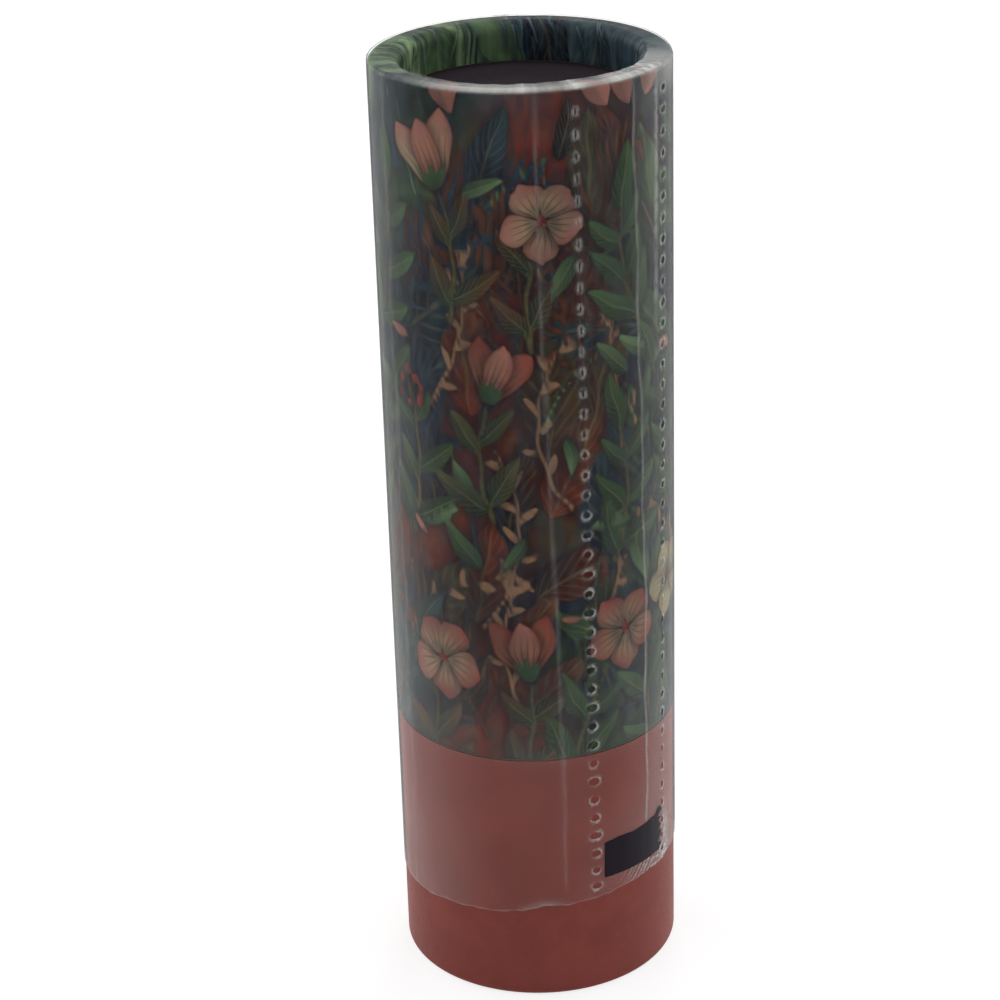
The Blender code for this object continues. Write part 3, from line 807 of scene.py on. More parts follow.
class PaintLayer:
    """One layer of the print on the sheet.

    For each point it keeps how deep the point lies in its nearest shape, where it lies along and
    across that shape, and the shape's colour there. These stay smooth past a shape's edge, so
    the shader can cut the edge sharp between two points.
    """

    def __init__(self, name: str, sheet: FlatSheet) -> None:
        """Starts an empty layer.

        Args:
            name: The layer's name.
            sheet: The sheet that it is painted on.
        """
        self.name = name
        self.sheet = sheet
        self.form = np.zeros((len(sheet.places), 3))
        self.form[:, 0] = -9.0
        self.colour = np.zeros((len(sheet.places), 3))

    def keep(self, near: Field, depth: Field, along: Field, across: Field, colour: Field) -> None:
        """Keeps a shape's values where it is the nearest so far.

        Args:
            near: Numbers of the points that the shape reaches.
            depth: How deep each of them lies in it.
            along: Where it lies from foot to tip, 0 to 1.
            across: Where it lies across, -1 to 1.
            colour: The shape's colour there.
        """
        closer = depth > self.form[near, 0]
        chosen = near[closer]
        self.form[chosen] = np.stack([depth, along, across], axis=1)[closer]
        self.colour[chosen] = colour[closer]

    def blade(self, shape: Blade) -> None:
        """Paints a leaf or a petal.

        Args:
            shape: The leaf's place, size and colours.
        """
        near, away = self.sheet.near(shape.foot, 1.15 * shape.length + 1.0)
        turn = math.radians(shape.heading)
        ahead = (away[:, 0] * math.sin(turn) + away[:, 1] * math.cos(turn)) / shape.length
        aside = away[:, 0] * math.cos(turn) - away[:, 1] * math.sin(turn)
        aside = aside - shape.bend * shape.length * ahead * ahead
        along = np.clip(ahead, 0.0, 1.0)
        half = 0.5 * shape.width * np.sin(math.pi * along**shape.belly) ** shape.blunt
        past = np.abs(ahead - along) * shape.length
        depth = np.where(past > 0.0, -np.hypot(past, aside), half - np.abs(aside))
        across = np.clip(aside / np.maximum(half, 0.08), -1.5, 1.5)
        blend = np.clip(along + 0.12 * across, 0.0, 1.0)[:, None]
        colour = np.array(shape.foot_colour) * (1.0 - blend) + np.array(shape.tip_colour) * blend
        self.keep(near, depth, along, across, colour)

    def stroke(self, line: Field, width: float, thin: float, colour: Colour) -> None:
        """Paints a stem along a line.

        Args:
            line: The line's points on the sheet, a small step apart.
            width: Its width at the foot.
            thin: Its width at the tip.
            colour: Its colour.
        """
        middle = line[len(line) // 2]
        reach = 0.5 * float(np.hypot(*np.diff(line, axis=0).T).sum()) + 2.0
        near, away = self.sheet.near(tuple(middle), reach)
        best = np.full(len(near), -9.0)
        where = np.zeros(len(near))
        steps = np.diff(line, axis=0)
        for number, (start, step) in enumerate(zip(line[:-1] - middle, steps)):
            gap = away - start
            share = np.clip(gap @ step / (step @ step), 0.0, 1.0)
            along = (number + share) / len(steps)
            depth = 0.5 * (width + (thin - width) * along) - np.hypot(*(gap - share[:, None] * step).T)
            closer = depth > best
            best[closer] = depth[closer]
            where[closer] = along[closer]
        self.keep(near, best, where, np.full(len(near), 0.5), np.tile(np.array(colour), (len(near), 1)))

    def dot(self, place: Tuple[float, float], radius: float, colour: Colour) -> None:
        """Paints a round dot, lighter to its upper left.

        Args:
            place: Its middle on the flat sheet, in mm.
            radius: Its radius in mm.
            colour: Its colour.
        """
        near, away = self.sheet.near(place, radius + 1.0)
        light = np.clip(1.0 + 0.45 * (away[:, 1] - away[:, 0]) / radius, 0.5, 1.7)[:, None]
        self.keep(near, radius - np.hypot(away[:, 0], away[:, 1]), np.full(len(near), 0.5),
                  np.full(len(near), 0.5), np.clip(np.array(colour) * light, 0.0, 1.0))

    def store(self, piece: bpy.types.Object) -> None:
        """Writes the layer to a piece's attributes."""
        write_attribute(piece, self.name + "_form", self.form)
        write_attribute(piece, self.name + "_colour", self.colour)


class Bloom(Enum):
    """What a sprig carries at its tip."""

    OPEN = "open"
    BUD = "bud"
    BERRIES = "berries"
    LEAF = "leaf"


@dataclass(frozen=True)
class Sprig:
    """An arching stem with leaves in pairs and something at its tip, in degrees and millimetres."""

    angle: float
    height: float
    heading: float
    length: float
    curl: float
    leaf: float = 0.0
    leaves: int = 0
    bloom: Bloom = Bloom.LEAF
    size: float = 5.0


INK = srgb(22, 20, 30)
NAVY = srgb(34, 38, 60)
TEAL = srgb(46, 68, 76)
MIST = srgb(84, 104, 110)
DEEP_GREEN = srgb(36, 54, 38)
LEAF_GREEN = srgb(62, 88, 54)
PALE_GREEN = srgb(96, 122, 84)
FRESH_GREEN = srgb(122, 158, 106)
LIME = srgb(146, 176, 126)
STRAW = srgb(132, 130, 94)
OLIVE = srgb(80, 74, 48)
RUSSET = srgb(98, 62, 42)
RUST = srgb(112, 48, 34)
UMBER = srgb(70, 42, 32)
WINE = srgb(84, 34, 32)
CORAL = srgb(141, 71, 62)
PINK = srgb(154, 101, 90)
CREAM = srgb(162, 145, 114)
LEMON = srgb(156, 154, 114)
TAN = srgb(142, 108, 82)
BERRY = srgb(112, 44, 40)

SPRIGS = (
    Sprig(-78.0, 20.0, 8.0, 13.0, 30.0, 5.0, 3),
    Sprig(-40.0, 17.0, -14.0, 13.0, 30.0, 5.0, 3, Bloom.OPEN, 6.6),
    Sprig(-8.0, 19.0, 22.0, 10.0, -30.0, 4.8, 2, Bloom.BUD, 6.0),
    Sprig(14.0, 20.0, 10.0, 13.0, 24.0, 5.0, 3, Bloom.OPEN, 6.4),
    Sprig(58.0, 20.0, -20.0, 14.0, 34.0, 5.0, 3),
    Sprig(92.0, 22.0, -10.0, 13.0, -20.0, 5.2, 3, Bloom.OPEN, 6.2),
    Sprig(-88.0, 38.0, 10.0, 14.0, 20.0, 5.0, 3),
    Sprig(-52.0, 40.0, 16.0, 12.0, -30.0, 4.8, 3, Bloom.BERRIES, 3.8),
    Sprig(-14.0, 42.0, -22.0, 10.0, 40.0, 4.8, 2, Bloom.BUD, 5.6),
    Sprig(34.0, 38.0, 24.0, 11.0, -40.0, 4.8, 3),
    Sprig(70.0, 40.0, 4.0, 13.0, -30.0, 5.0, 3),
    Sprig(-74.0, 55.0, 20.0, 12.0, -20.0, 5.2, 3, size=5.4),
    Sprig(-30.0, 58.0, 14.0, 10.0, -34.0, 4.8, 2, Bloom.BUD, 6.4),
    Sprig(2.0, 56.0, -10.0, 10.0, 30.0, 4.8, 2, Bloom.OPEN, 6.0),
    Sprig(48.0, 57.0, -30.0, 9.0, 36.0, 4.8, 3, size=5.4),
    Sprig(80.0, 62.0, -16.0, 10.0, 24.0, 5.0, 3),
)
SPRAYS = (
    Sprig(-58.0, 31.0, 30.0, 14.0, 60.0, 1.9, 7),
    Sprig(-20.0, 33.0, 40.0, 16.0, -70.0, 2.1, 8),
    Sprig(16.0, 43.0, -40.0, 15.0, 80.0, 2.0, 7),
    Sprig(-46.0, 50.0, 46.0, 15.0, -60.0, 2.0, 7),
    Sprig(30.0, 33.0, 10.0, 13.0, 50.0, 1.8, 6),
    Sprig(-4.0, 26.0, -30.0, 12.0, 60.0, 1.9, 6),
    Sprig(52.0, 48.0, -50.0, 12.0, 66.0, 1.6, 6),
    Sprig(100.0, 30.0, -16.0, 14.0, -50.0, 1.7, 7),
)
FRONDS = (
    Sprig(-96.0, 36.0, 24.0, 19.0, 40.0, 5.6),
    Sprig(-64.0, 58.0, 40.0, 19.0, 26.0, 5.4),
    Sprig(-20.0, 24.0, -24.0, 18.0, -34.0, 5.4),
    Sprig(22.0, 53.0, -10.0, 20.0, 50.0, 5.8),
    Sprig(54.0, 33.0, 10.0, 20.0, -30.0, 5.6),
    Sprig(62.0, 60.0, 30.0, 17.0, 30.0, 5.4),
    Sprig(26.0, 24.0, 30.0, 16.0, -20.0, 5.0),
    Sprig(-40.0, 48.0, -34.0, 16.0, 24.0, 5.2),
    Sprig(-4.0, 54.0, 16.0, 14.0, -50.0, 5.0),
)
LAYERS = ("ground", "frond", "leaf", "petal", "lip", "heart")
COLD_WASH = (DEEP_GREEN, NAVY, INK, TEAL, DEEP_GREEN, LEAF_GREEN, NAVY)
COLD_LEAVES = (
    (DEEP_GREEN, LEAF_GREEN), (INK, TEAL), (DEEP_GREEN, PALE_GREEN), (NAVY, TEAL), (DEEP_GREEN, LEAF_GREEN),
    (DEEP_GREEN, OLIVE)
)
WARM_LEAVES = ((UMBER, RUST), (UMBER, OLIVE), (INK, UMBER), (RUST, RUSSET))
COLD_FRONDS = ((NAVY, TEAL), (DEEP_GREEN, LEAF_GREEN), (NAVY, TEAL), (TEAL, MIST))


@dataclass
class BotanicalPrint:
    """A generic all-over print of broad leaves, fronds and sprigs with five-petalled blossoms.

    Sizes are in millimetres on the flat sheet. Sprigs and fronds are placed as listed on the half
    that faces the viewer, and again, nudged by a seeded shuffle, on the other half.
    """

    radius: float
    low: float
    high: float
    seed: int = 11
    wash_step: float = 6.4
    leaf_step: Tuple[float, float] = (6.6, 6.8)
    jitter: float = 0.34
    stem_steps: int = 18
    grass: int = 90
    scatter: int = 40
    crown: float = 6.6
    crown_streaks: int = 120
    leaflets: int = 13
    stamens: int = 6
    berries: int = 7
    drift_lean: Tuple[float, float] = (-2.0, 0.4)
    drift_start: float = 0.184
    drift_sway: float = 0.05
    drift_half: float = 0.21
    leafy_angle: float = -112.0
    leafy_share: float = 0.6
    crest_leaves: Sequence[float] = (-26.0, 33.0, 43.0, 52.0)
    layers: Dict[str, PaintLayer] = field(init=False, default_factory=dict)

    def __post_init__(self) -> None:
        """Starts the seeded shuffle."""
        self.random = np.random.default_rng(self.seed)
        self.girth = TURN * self.radius
        self.crown_foot = self.high - self.crown

    def across(self, angle: float) -> float:
        """Place round the flat sheet of an angle round the tube."""
        return math.radians(angle) * self.radius

    def shade(self, colour: Colour, amount: float = 0.2) -> Colour:
        """A colour made a little lighter or darker by chance."""
        factor = 1.0 + amount * self.random.uniform(-1.0, 1.0)
        return tuple(min(1.0, factor * c) for c in colour)

    def pick(self, choices: Sequence[Any]) -> Any:
        """One of some colours, or pairs of them, by chance."""
        return choices[int(self.random.integers(len(choices)))]

    def warm(self, place: Place) -> bool:
        """Whether a place lies in one of the print's slanting rust-coloured drifts.

        Args:
            place: A place on the sheet, in mm.

        Returns:
            True in a drift.
        """
        lean = (self.drift_lean[0] * place[0] + self.drift_lean[1] * place[1]) / self.girth
        phase = lean + self.drift_start + self.drift_sway * math.sin(place[1] * 0.3)
        return abs(phase % 1.0 - 0.5) < self.drift_half

    def leafy(self, place: Place) -> float:
        """How far a place is to the crest's leafy side, 1 to -1."""
        return math.cos((place[0] - self.across(self.leafy_angle)) / self.radius)

    def crown_pair(self, place: Place) -> Tuple[Colour, Colour]:
        """The colours over the crest and down the recess: light greens to the left, partly the print's green
        and partly painted light on the recess's lit inner wall, then navy, then teal to the right.

        Args:
            place: A place on the sheet, in mm.

        Returns:
            A foot and a tip colour.
        """
        side = self.leafy(place)
        if side > self.leafy_share:
            return self.pick(((PALE_GREEN, FRESH_GREEN), (LEAF_GREEN, FRESH_GREEN), (PALE_GREEN, LIME)))
        if side > -0.25:
            return self.pick(((INK, NAVY), (NAVY, TEAL)))
        return self.pick(((NAVY, TEAL), (TEAL, MIST), (NAVY, MIST)))

    def jittered(self, step_across: float, step_up: float) -> List[Place]:
        """Places in a loose even spread over the sheet.

        Args:
            step_across: Spacing round the tube, in mm.
            step_up: Spacing up the tube, in mm.

        Returns:
            The places, in mm.
        """
        columns = round(self.girth / step_across)
        rows = round((self.high - self.low) / step_up)
        places = []
        for row in range(rows + 1):
            for column in range(columns):
                nudge = self.random.uniform(-self.jitter, self.jitter, 2)
                x = (column + 0.5 * (row % 2) + nudge[0]) * self.girth / columns
                places.append((x, self.low + (row + nudge[1]) * step_up))
        return places

    def stem(self, sprig: Sprig) -> Tuple[Field, Field]:
        """The points of a sprig's stem and its heading at each.

        Args:
            sprig: The sprig.

        Returns:
            The points in mm, and the headings in degrees.
        """
        headings = sprig.heading + sprig.curl * np.linspace(0.0, 1.0, self.stem_steps + 1)
        turn = np.radians(0.5 * (headings[1:] + headings[:-1]))
        moves = np.stack([np.sin(turn), np.cos(turn)], axis=1) * sprig.length / self.stem_steps
        start = np.array([[self.across(sprig.angle), sprig.height]])
        return np.concatenate([start, start + np.cumsum(moves, axis=0)]), headings

    def blade(
        self, layer: str, foot: Place, heading: float, size: float, slim: float, belly: float, bend: float,
        foot_colour: Colour, tip_colour: Colour, blunt: float = 0.8
    ) -> None:
        """Paints a blade on a layer, its width a share of its length."""
        shape = Blade(foot, heading, size, slim * size, belly, bend, foot_colour, tip_colour, blunt)
        self.layers[layer].blade(shape)

    def paint_wash(self, piece: bpy.types.Object, sheet: FlatSheet) -> None:
        """Paints the ground: soft patches of dark colour, with rust in slanting drifts.

        Args:
            piece: The piece that keeps the colours.
            sheet: Its vertices laid out flat.
        """
        weight = np.full(len(sheet.places), 1e-9)
        wash = np.zeros((len(sheet.places), 3))
        reach = 0.62 * self.wash_step
        for place in self.jittered(self.wash_step, self.wash_step):
            cold = self.shade(self.pick(COLD_WASH), 0.3)
            colour = self.shade(self.pick((RUST, UMBER, RUST)), 0.3) if self.warm(place) else cold
            if place[1] > self.crown_foot:
                colour = self.shade(self.crown_pair(place)[1], 0.3)
            near, away = sheet.near(place, 3.0 * reach)
            share = np.exp(-((away[:, 0] ** 2 + away[:, 1] ** 2) / reach**2) * 1.6)
            weight[near] += share
            wash[near] += share[:, None] * np.array(colour)
        write_attribute(piece, "wash", wash / weight[:, None])

    def paint_ground_leaves(self) -> None:
        """Paints broad dark leaves all over the ground."""
        for place in self.jittered(*self.leaf_step):
            flow = 34.0 * math.sin(place[0] / 5.3 + 0.05 * place[1]) + self.random.uniform(-46.0, 46.0)
            length = self.random.uniform(8.0, 13.0)
            foot, tip = self.pick(COLD_LEAVES)
            if self.warm(place):
                foot, tip = self.pick(WARM_LEAVES)
            room = self.crown_foot - place[1]
            if room < 2.0:
                foot, tip = self.crown_pair(place)
                flow *= 0.35
            elif math.cos(math.radians(flow)) * length > room:
                length = max(room, 4.0)
            slim, bend = self.random.uniform(0.34, 0.44), self.random.uniform(-0.16, 0.16)
            foot, tip = self.shade(foot), self.shade(tip, 0.3)
            self.blade("ground", place, flow, length, slim, 0.75, bend, foot, tip)

    def paint_grass(self) -> None:
        """Paints thin arching blades of grass."""
        for _ in range(self.grass):
            place = (self.girth * self.random.random(), self.random.uniform(self.low - 4.0, self.high))
            lean, length = self.random.uniform(-40.0, 40.0), self.random.uniform(5.0, 9.0)
            line, _ = self.stem(Sprig(0.0, place[1], lean, length, self.random.uniform(-60.0, 60.0)))
            colour = self.shade(self.pick((PALE_GREEN, TEAL, TAN, LEAF_GREEN, TEAL)), 0.3)
            self.layers["frond"].stroke(line + np.array([place[0], 0.0]), 0.3, 0.1, colour)

    def paint_frond(self, sprig: Sprig) -> None:
        """Paints a frond with narrow leaflets in pairs.

        Args:
            sprig: The sprig to paint.
        """
        line, headings = self.stem(sprig)
        dark, light = self.pick(COLD_FRONDS)
        if self.warm(tuple(line[len(line) // 2])):
            dark, light = UMBER, RUSSET
        self.layers["frond"].stroke(line, 0.3, 0.14, self.shade(light))
        for number in range(self.leaflets):
            share = 0.1 + 0.9 * number / self.leaflets
            index = int(share * (len(line) - 1))
            size = sprig.leaf * math.sin(math.pi * (0.2 + 0.72 * share)) ** 0.7
            for side in (-1.0, 1.0):
                heading = headings[index] + side * (64.0 - 30.0 * share)
                self.blade("frond", tuple(line[index]), heading, size, 0.5 / size, 0.8, -0.12 * side,
                           self.shade(dark), self.shade(light))

    def paint_spray(self, sprig: Sprig) -> None:
        """Paints an arching tan stalk with a row of small seeds on each side.

        Args:
            sprig: The sprig to paint.
        """
        line, headings = self.stem(sprig)
        colour = self.shade(TAN, 0.12)
        self.layers["frond"].stroke(line, 0.40, 0.20, colour)
        for number in range(sprig.leaves):
            index = int((0.25 + 0.75 * number / sprig.leaves) * (len(line) - 1))
            side = 1.0 if number % 2 == 0 else -1.0
            heading = headings[index] + side * self.random.uniform(26.0, 46.0)
            self.blade("frond", tuple(line[index]), heading, sprig.leaf, 0.34, 1.1, 0.15 * side,
                       colour, self.shade(TAN, 0.2))

    def paint_crown(self) -> None:
        """Clears the crest of other shapes and paints fine strokes over it and down the recess."""
        for layer in self.layers.values():
            if layer.name != "ground":
                layer.form[layer.sheet.places[:, 1] > self.crown_foot, 0] = -9.0
        for _ in range(self.crown_streaks):
            across, down = self.girth * self.random.random(), self.crown * self.random.uniform(0.2, 0.9)
            place = (across, self.high - down)
            lean = 20.0 * math.sin(place[0] / 6.0) + self.random.uniform(-7.0, 7.0)
            length = self.random.uniform(2.2, 4.6)
            line, _ = self.stem(Sprig(0.0, place[1], lean, length, self.random.uniform(-20.0, 20.0)))
            green = self.leafy(place) > self.leafy_share
            tones = (PALE_GREEN, DEEP_GREEN, LEAF_GREEN) if green else (TEAL, TEAL, MIST)
            colour = self.shade(self.pick(tones), 0.25)
            width = self.random.uniform(0.16, 0.46)
            self.layers["frond"].stroke(line + np.array([across, 0.0]), width, 0.10, colour)
        for angle in self.crest_leaves:
            foot = (self.across(angle), self.crown_foot - 1.2)
            self.blade("leaf", foot, self.random.uniform(-30.0, 30.0), 4.6, 0.5, 0.9, 0.1,
                       self.shade(PINK), self.shade(PINK))

    def paint_sprig(self, sprig: Sprig) -> None:
        """Paints a stem, its leaves and what it carries.

        Args:
            sprig: The sprig to paint.
        """
        line, headings = self.stem(sprig)
        green = self.shade(self.pick((LEAF_GREEN, LEAF_GREEN, OLIVE, TEAL)))
        if self.warm(tuple(line[len(line) // 2])):
            green = self.shade(self.pick((OLIVE, RUSSET, OLIVE)))
        self.layers["leaf"].stroke(line, 0.5, 0.25, self.shade(OLIVE))
        for number in range(sprig.leaves):
            share = (number + 0.35) / (sprig.leaves + 0.2)
            index = int(share * (len(line) - 1))
            for side in (-1.0, 1.0):
                size = sprig.leaf * (1.12 - 0.5 * share) * self.random.uniform(0.85, 1.1)
                heading = headings[index] + side * self.random.uniform(34.0, 56.0)
                foot = tuple(line[min(index + (side > 0.0), len(line) - 1)])
                self.blade("leaf", foot, heading, size, 0.4, 0.72, -0.12 * side,
                           self.shade(DEEP_GREEN), self.shade(green))
        tip, heading = tuple(line[-1]), float(headings[-1])
        carried = {Bloom.OPEN: self.paint_open, Bloom.BUD: self.paint_bud, Bloom.BERRIES: self.paint_berries}
        if sprig.bloom is Bloom.LEAF or tip[1] > self.high - 12.0:
            self.blade("leaf", tip, heading, sprig.size, 0.4, 0.72, 0.05, DEEP_GREEN, green)
        else:
            carried[sprig.bloom](tip, heading, sprig.size)

    def paint_open(self, centre: Place, heading: float, size: float) -> None:
        """Paints an open blossom of five petals, in two layers, with its heart.

        Args:
            centre: Its middle, in mm.
            heading: The stem's heading.
            size: Its width in mm.
        """
        turn = heading + self.random.uniform(-25.0, 25.0)
        heart_tone, edge_tone = self.pick(((CREAM, PINK), (CREAM, CORAL), (LEMON, CREAM)))
        for petal in range(5):
            angle = turn + 72.0 * petal
            foot = moved_place(centre, angle, 0.04 * size)
            self.blade("petal" if petal % 2 == 0 else "lip", foot, angle, 0.48 * size, 0.46 / 0.48, 1.5,
                       self.random.uniform(-0.12, 0.12), self.shade(heart_tone), self.shade(edge_tone), 0.62)
        heart = self.layers["heart"]
        heart.dot(centre, 0.07 * size, BERRY)
        for stamen in range(self.stamens):
            heart.dot(moved_place(centre, turn + 360.0 * stamen / self.stamens, 0.14 * size), 0.14, TAN)

    def paint_bud(self, foot: Place, heading: float, size: float) -> None:
        """Paints a half-open bud of three petals in a green cup.

        Args:
            foot: Where it leaves the stem, in mm.
            heading: The stem's heading.
            size: Its length in mm.
        """
        inner, outer = self.pick(((CREAM, CORAL), (TAN, CORAL), (LEMON, PINK)))
        for side in (-1.0, 1.0):
            self.blade("petal", foot, heading + 17.0 * side, 0.95 * size, 0.42 / 0.95, 1.25, 0.10 * side,
                       self.shade(inner), self.shade(outer), 0.7)
        self.blade("lip", foot, heading, 0.86 * size, 0.40 / 0.86, 1.2, 0.0,
                   self.shade(TAN), self.shade(PINK), 0.7)
        for side in (-1.0, 0.0, 1.0):
            self.blade("heart", foot, heading + 30.0 * side, 0.34 * size, 0.13 / 0.34, 0.8, 0.0,
                       DEEP_GREEN, LEAF_GREEN)

    def paint_berries(self, tip: Place, heading: float, size: float) -> None:
        """Paints a loose bunch of berries on short stalks.

        Args:
            tip: The stem's tip, in mm.
            heading: The stem's heading.
            size: The bunch's size in mm.
        """
        for number in range(self.berries):
            reach = size * (0.2 + 0.25 * self.random.random())
            place = moved_place(tip, heading + 360.0 * number / self.berries, reach)
            self.layers["leaf"].stroke(np.array([tip, place]), 0.2, 0.14, OLIVE)
            self.layers["heart"].dot(place, self.random.uniform(0.3, 0.45), self.shade(BERRY, 0.3))

    def paint_scatter(self) -> None:
        """Paints loose petals and small leaves between the sprigs."""
        for number in range(self.scatter):
            place = (self.girth * self.random.random(), self.random.uniform(self.low, self.crown_foot - 3.0))
            heading = self.random.uniform(0.0, 360.0)
            size = self.random.uniform(1.8, 3.2)
            if number % 3 == 0:
                self.blade("lip", place, heading, size, 0.34, 1.1, 0.1,
                           self.shade(TAN), self.shade(PINK), 0.9)
            else:
                self.blade("leaf", place, heading, 1.7 * size, 0.6 / 1.7, 0.75, 0.12,
                           self.shade(DEEP_GREEN), self.shade(PALE_GREEN, 0.3))

    def paint(self, piece: bpy.types.Object, places: Field) -> None:
        """Paints the whole design on one piece of the paper and stores it there.

        Args:
            piece: The piece of paper.
            places: Place of each of its vertices on the flat sheet.
        """
        x, y = places.T
        wobble = np.stack([np.sin(1.7 * y + np.sin(1.1 * x)), np.sin(1.5 * x - 1.0 * y)], axis=1)
        sheet = FlatSheet(places + 0.10 * wobble, self.girth)
        self.layers = {name: PaintLayer(name, sheet) for name in LAYERS}
        self.paint_wash(piece, sheet)
        self.paint_ground_leaves()
        self.paint_grass()
        for half in (0.0, 180.0):
            for shapes, paint_shape in (
                (FRONDS, self.paint_frond), (SPRAYS, self.paint_spray), (SPRIGS, self.paint_sprig)
            ):
                for shape in shapes:
                    paint_shape(self.moved(shape, half))
        self.paint_crown()
        self.paint_scatter()
        for layer in self.layers.values():
            layer.store(piece)

    def moved(self, sprig: Sprig, half: float) -> Sprig:
        """A sprig turned half way round the tube, nudged a little there.

        Args:
            sprig: The sprig.
            half: The turn in degrees, 0 for none.

        Returns:
            The sprig for that half.
        """
        if half == 0.0:
            return sprig
        nudge = self.random.uniform(-6.0, 6.0, 3)
        return replace(sprig, angle=sprig.angle + half + nudge[0], height=sprig.height + 0.3 * nudge[1],
                       heading=sprig.heading + nudge[2])


@dataclass(frozen=True)
class PrintFinish(Finish):
    """Printed and laminated paper: washes, foliage and blossoms with fine drawn lines."""

    roughness: float = 0.45
    line: float = 0.08
    soft: float = 0.06
    drawn: float = 0.55
    shadow: float = 0.45
    depth: float = 0.0000015
    upper: Sequence[Tuple[str, Colour, Pattern]] = (
        ("frond", INK, Pattern.NONE),
        ("leaf", INK, Pattern.VEINS),
        ("petal", WINE, Pattern.STREAKS),
        ("lip", WINE, Pattern.STREAKS),
        ("heart", WINE, Pattern.NONE),
    )

    def layer(self, sheet: NodeSheet, under: Wired, name: str, ink: Colour, pattern: Pattern) -> Wire:
        """Lays one layer of the print over what is under it.

        Args:
            sheet: The material's nodes.
            under: The colour under the layer.
            name: The layer's name.
            ink: The colour of its drawn lines.
            pattern: Its fine lines.

        Returns:
            The colour with the layer on it.
        """
        depth, along, across = sheet.split(sheet.attribute(name + "_form"))
        colour = sheet.attribute(name + "_colour", "Color")
        side = abs(across)
        if pattern is Pattern.VEINS:
            phase = sheet.maths("FRACT", side * -2.2 + along * 8.0)
            vein = abs(phase - 0.5).mapped(0.05, 0.2, 0.32, 0.0)
            rib = side.mapped(0.03, 0.12, 0.6, 0.0)
            colour = sheet.mix(across.mapped(-0.3, 0.3, 0.35, 0.0), colour, ink)
            colour = sheet.mix(sheet.maths("MAXIMUM", rib, vein), colour, sheet.mix(0.45, colour, STRAW))
        elif pattern is Pattern.STREAKS:
            phase = sheet.maths("FRACT", across * 2.5)
            streak = abs(phase - 0.5).mapped(0.05, 0.2, 0.6, 0.0)
            colour = sheet.mix(streak * along.mapped(0.3, 0.9, 1.0, 0.0), colour, ink)
            colour = sheet.mix(side.mapped(0.45, 1.0, 0.0, 0.4), colour, ink)
        drawn = depth.mapped(self.line - self.soft, self.line + self.soft, self.drawn, 0.0)
        shaded = sheet.mix(depth.mapped(-0.8, 0.0, 0.0, self.shadow), under, INK)
        return sheet.mix(depth.mapped(-self.soft, self.soft), shaded, sheet.mix(drawn, colour, ink))

    def lay(self, sheet: NodeSheet) -> None:
        """Lays out the wash, the layers of the print, and over the rim's pleats a lighter tone on the ridges,
        partly rubbed print and partly painted highlight, and painted shade in the valleys and deeper in the
        recess.

        Args:
            sheet: The material's nodes.
        """
        warp = sheet.noise(0.004)
        stroke = sheet.noise(0.0009, 3.0, (1.0, 1.0, 0.25))
        cloud = sheet.noise(0.003, 3.0)
        fold = sheet.attribute("fold", "Fac")
        grain = sheet.noise(0.00012)

        def toned(colour: Wired, share: Wire, amount: float, tone: Colour) -> Wire:
            """Turns a colour towards a tone, by some amount, where a share says."""
            return sheet.mix(share, colour, sheet.mix(amount, colour, tone))

        colour = toned(sheet.attribute("wash", "Color"), stroke.mapped(0.45, 0.62, 0.0, 0.6), 0.6, INK)
        colour = toned(colour, cloud.mapped(0.5, 0.7, 0.0, 0.5), 0.3, PALE_GREEN)
        colour = self.layer(sheet, colour, "ground", INK, Pattern.VEINS)
        colour = toned(colour, warp.mapped(0.4, 0.65, 0.0, 0.45), 0.6, INK)
        for name, ink, pattern in self.upper:
            colour = self.layer(sheet, colour, name, ink, pattern)
        colour = toned(colour, stroke.mapped(0.4, 0.6, 0.0, 0.22), 0.5, MIST)
        colour = toned(colour, cloud.mapped(0.35, 0.6, 0.4, 0.0), 0.55, INK)
        # Pleat ridges turned towards MIST: partly rubbed print, partly painted highlight; pleat valleys and the
        # deeper recess turned towards INK: painted shade.
        colour = toned(colour, fold.mapped(0.2, 1.0, 0.0, 0.45), 0.4, MIST)
        colour = sheet.mix(fold.mapped(-1.0, -0.1, 0.8, 0.0), colour, INK)
        sheet.set_shader(
            Base_Color=colour, Roughness=grain.around(self.roughness, 0.05), Specular_IOR_Level=0.05,
            Normal=sheet.bump(grain, self.depth)
        )


# The object's sub-assemblies


def dress(
    piece: bpy.types.Object, body: Body, material: bpy.types.Material, nodes: Sequence[str]
) -> bpy.types.Object:
    """Gives a finished piece its material and its body, and hides the CAD nodes that it stands for.

    Args:
        piece: The finished piece.
        body: The body that it rides on.
        material: Its material.
        nodes: The CAD nodes that it replaces.

    Returns:
        The same piece.
    """
    set_material(piece, material)
    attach(piece, body.value)
    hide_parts(*nodes)
    LOG.info("%s rides on %s, %d faces", piece.name, body.value, len(piece.data.polygons))
    return piece


def dress_node(node: str, material: bpy.types.Material) -> None:
    """Gives a CAD node that keeps its own shape its material.

    Args:
        node: Name of the CAD node.
        material: The finished material.
    """
    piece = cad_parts[node]
    set_material(piece, material)
    LOG.info("%s keeps its CAD shape", node)


def set_material(piece: bpy.types.Object, material: bpy.types.Material) -> None:
    """Gives a piece one material."""
    piece.data.materials.clear()
    piece.data.materials.append(material)


def seam_at(angle: Field, step: float, angles: Tuple[float, float]) -> Field:
    """How far paper lies in at an angle, where its end laps over its start."""
    return step * smooth_step(angle, *angles)


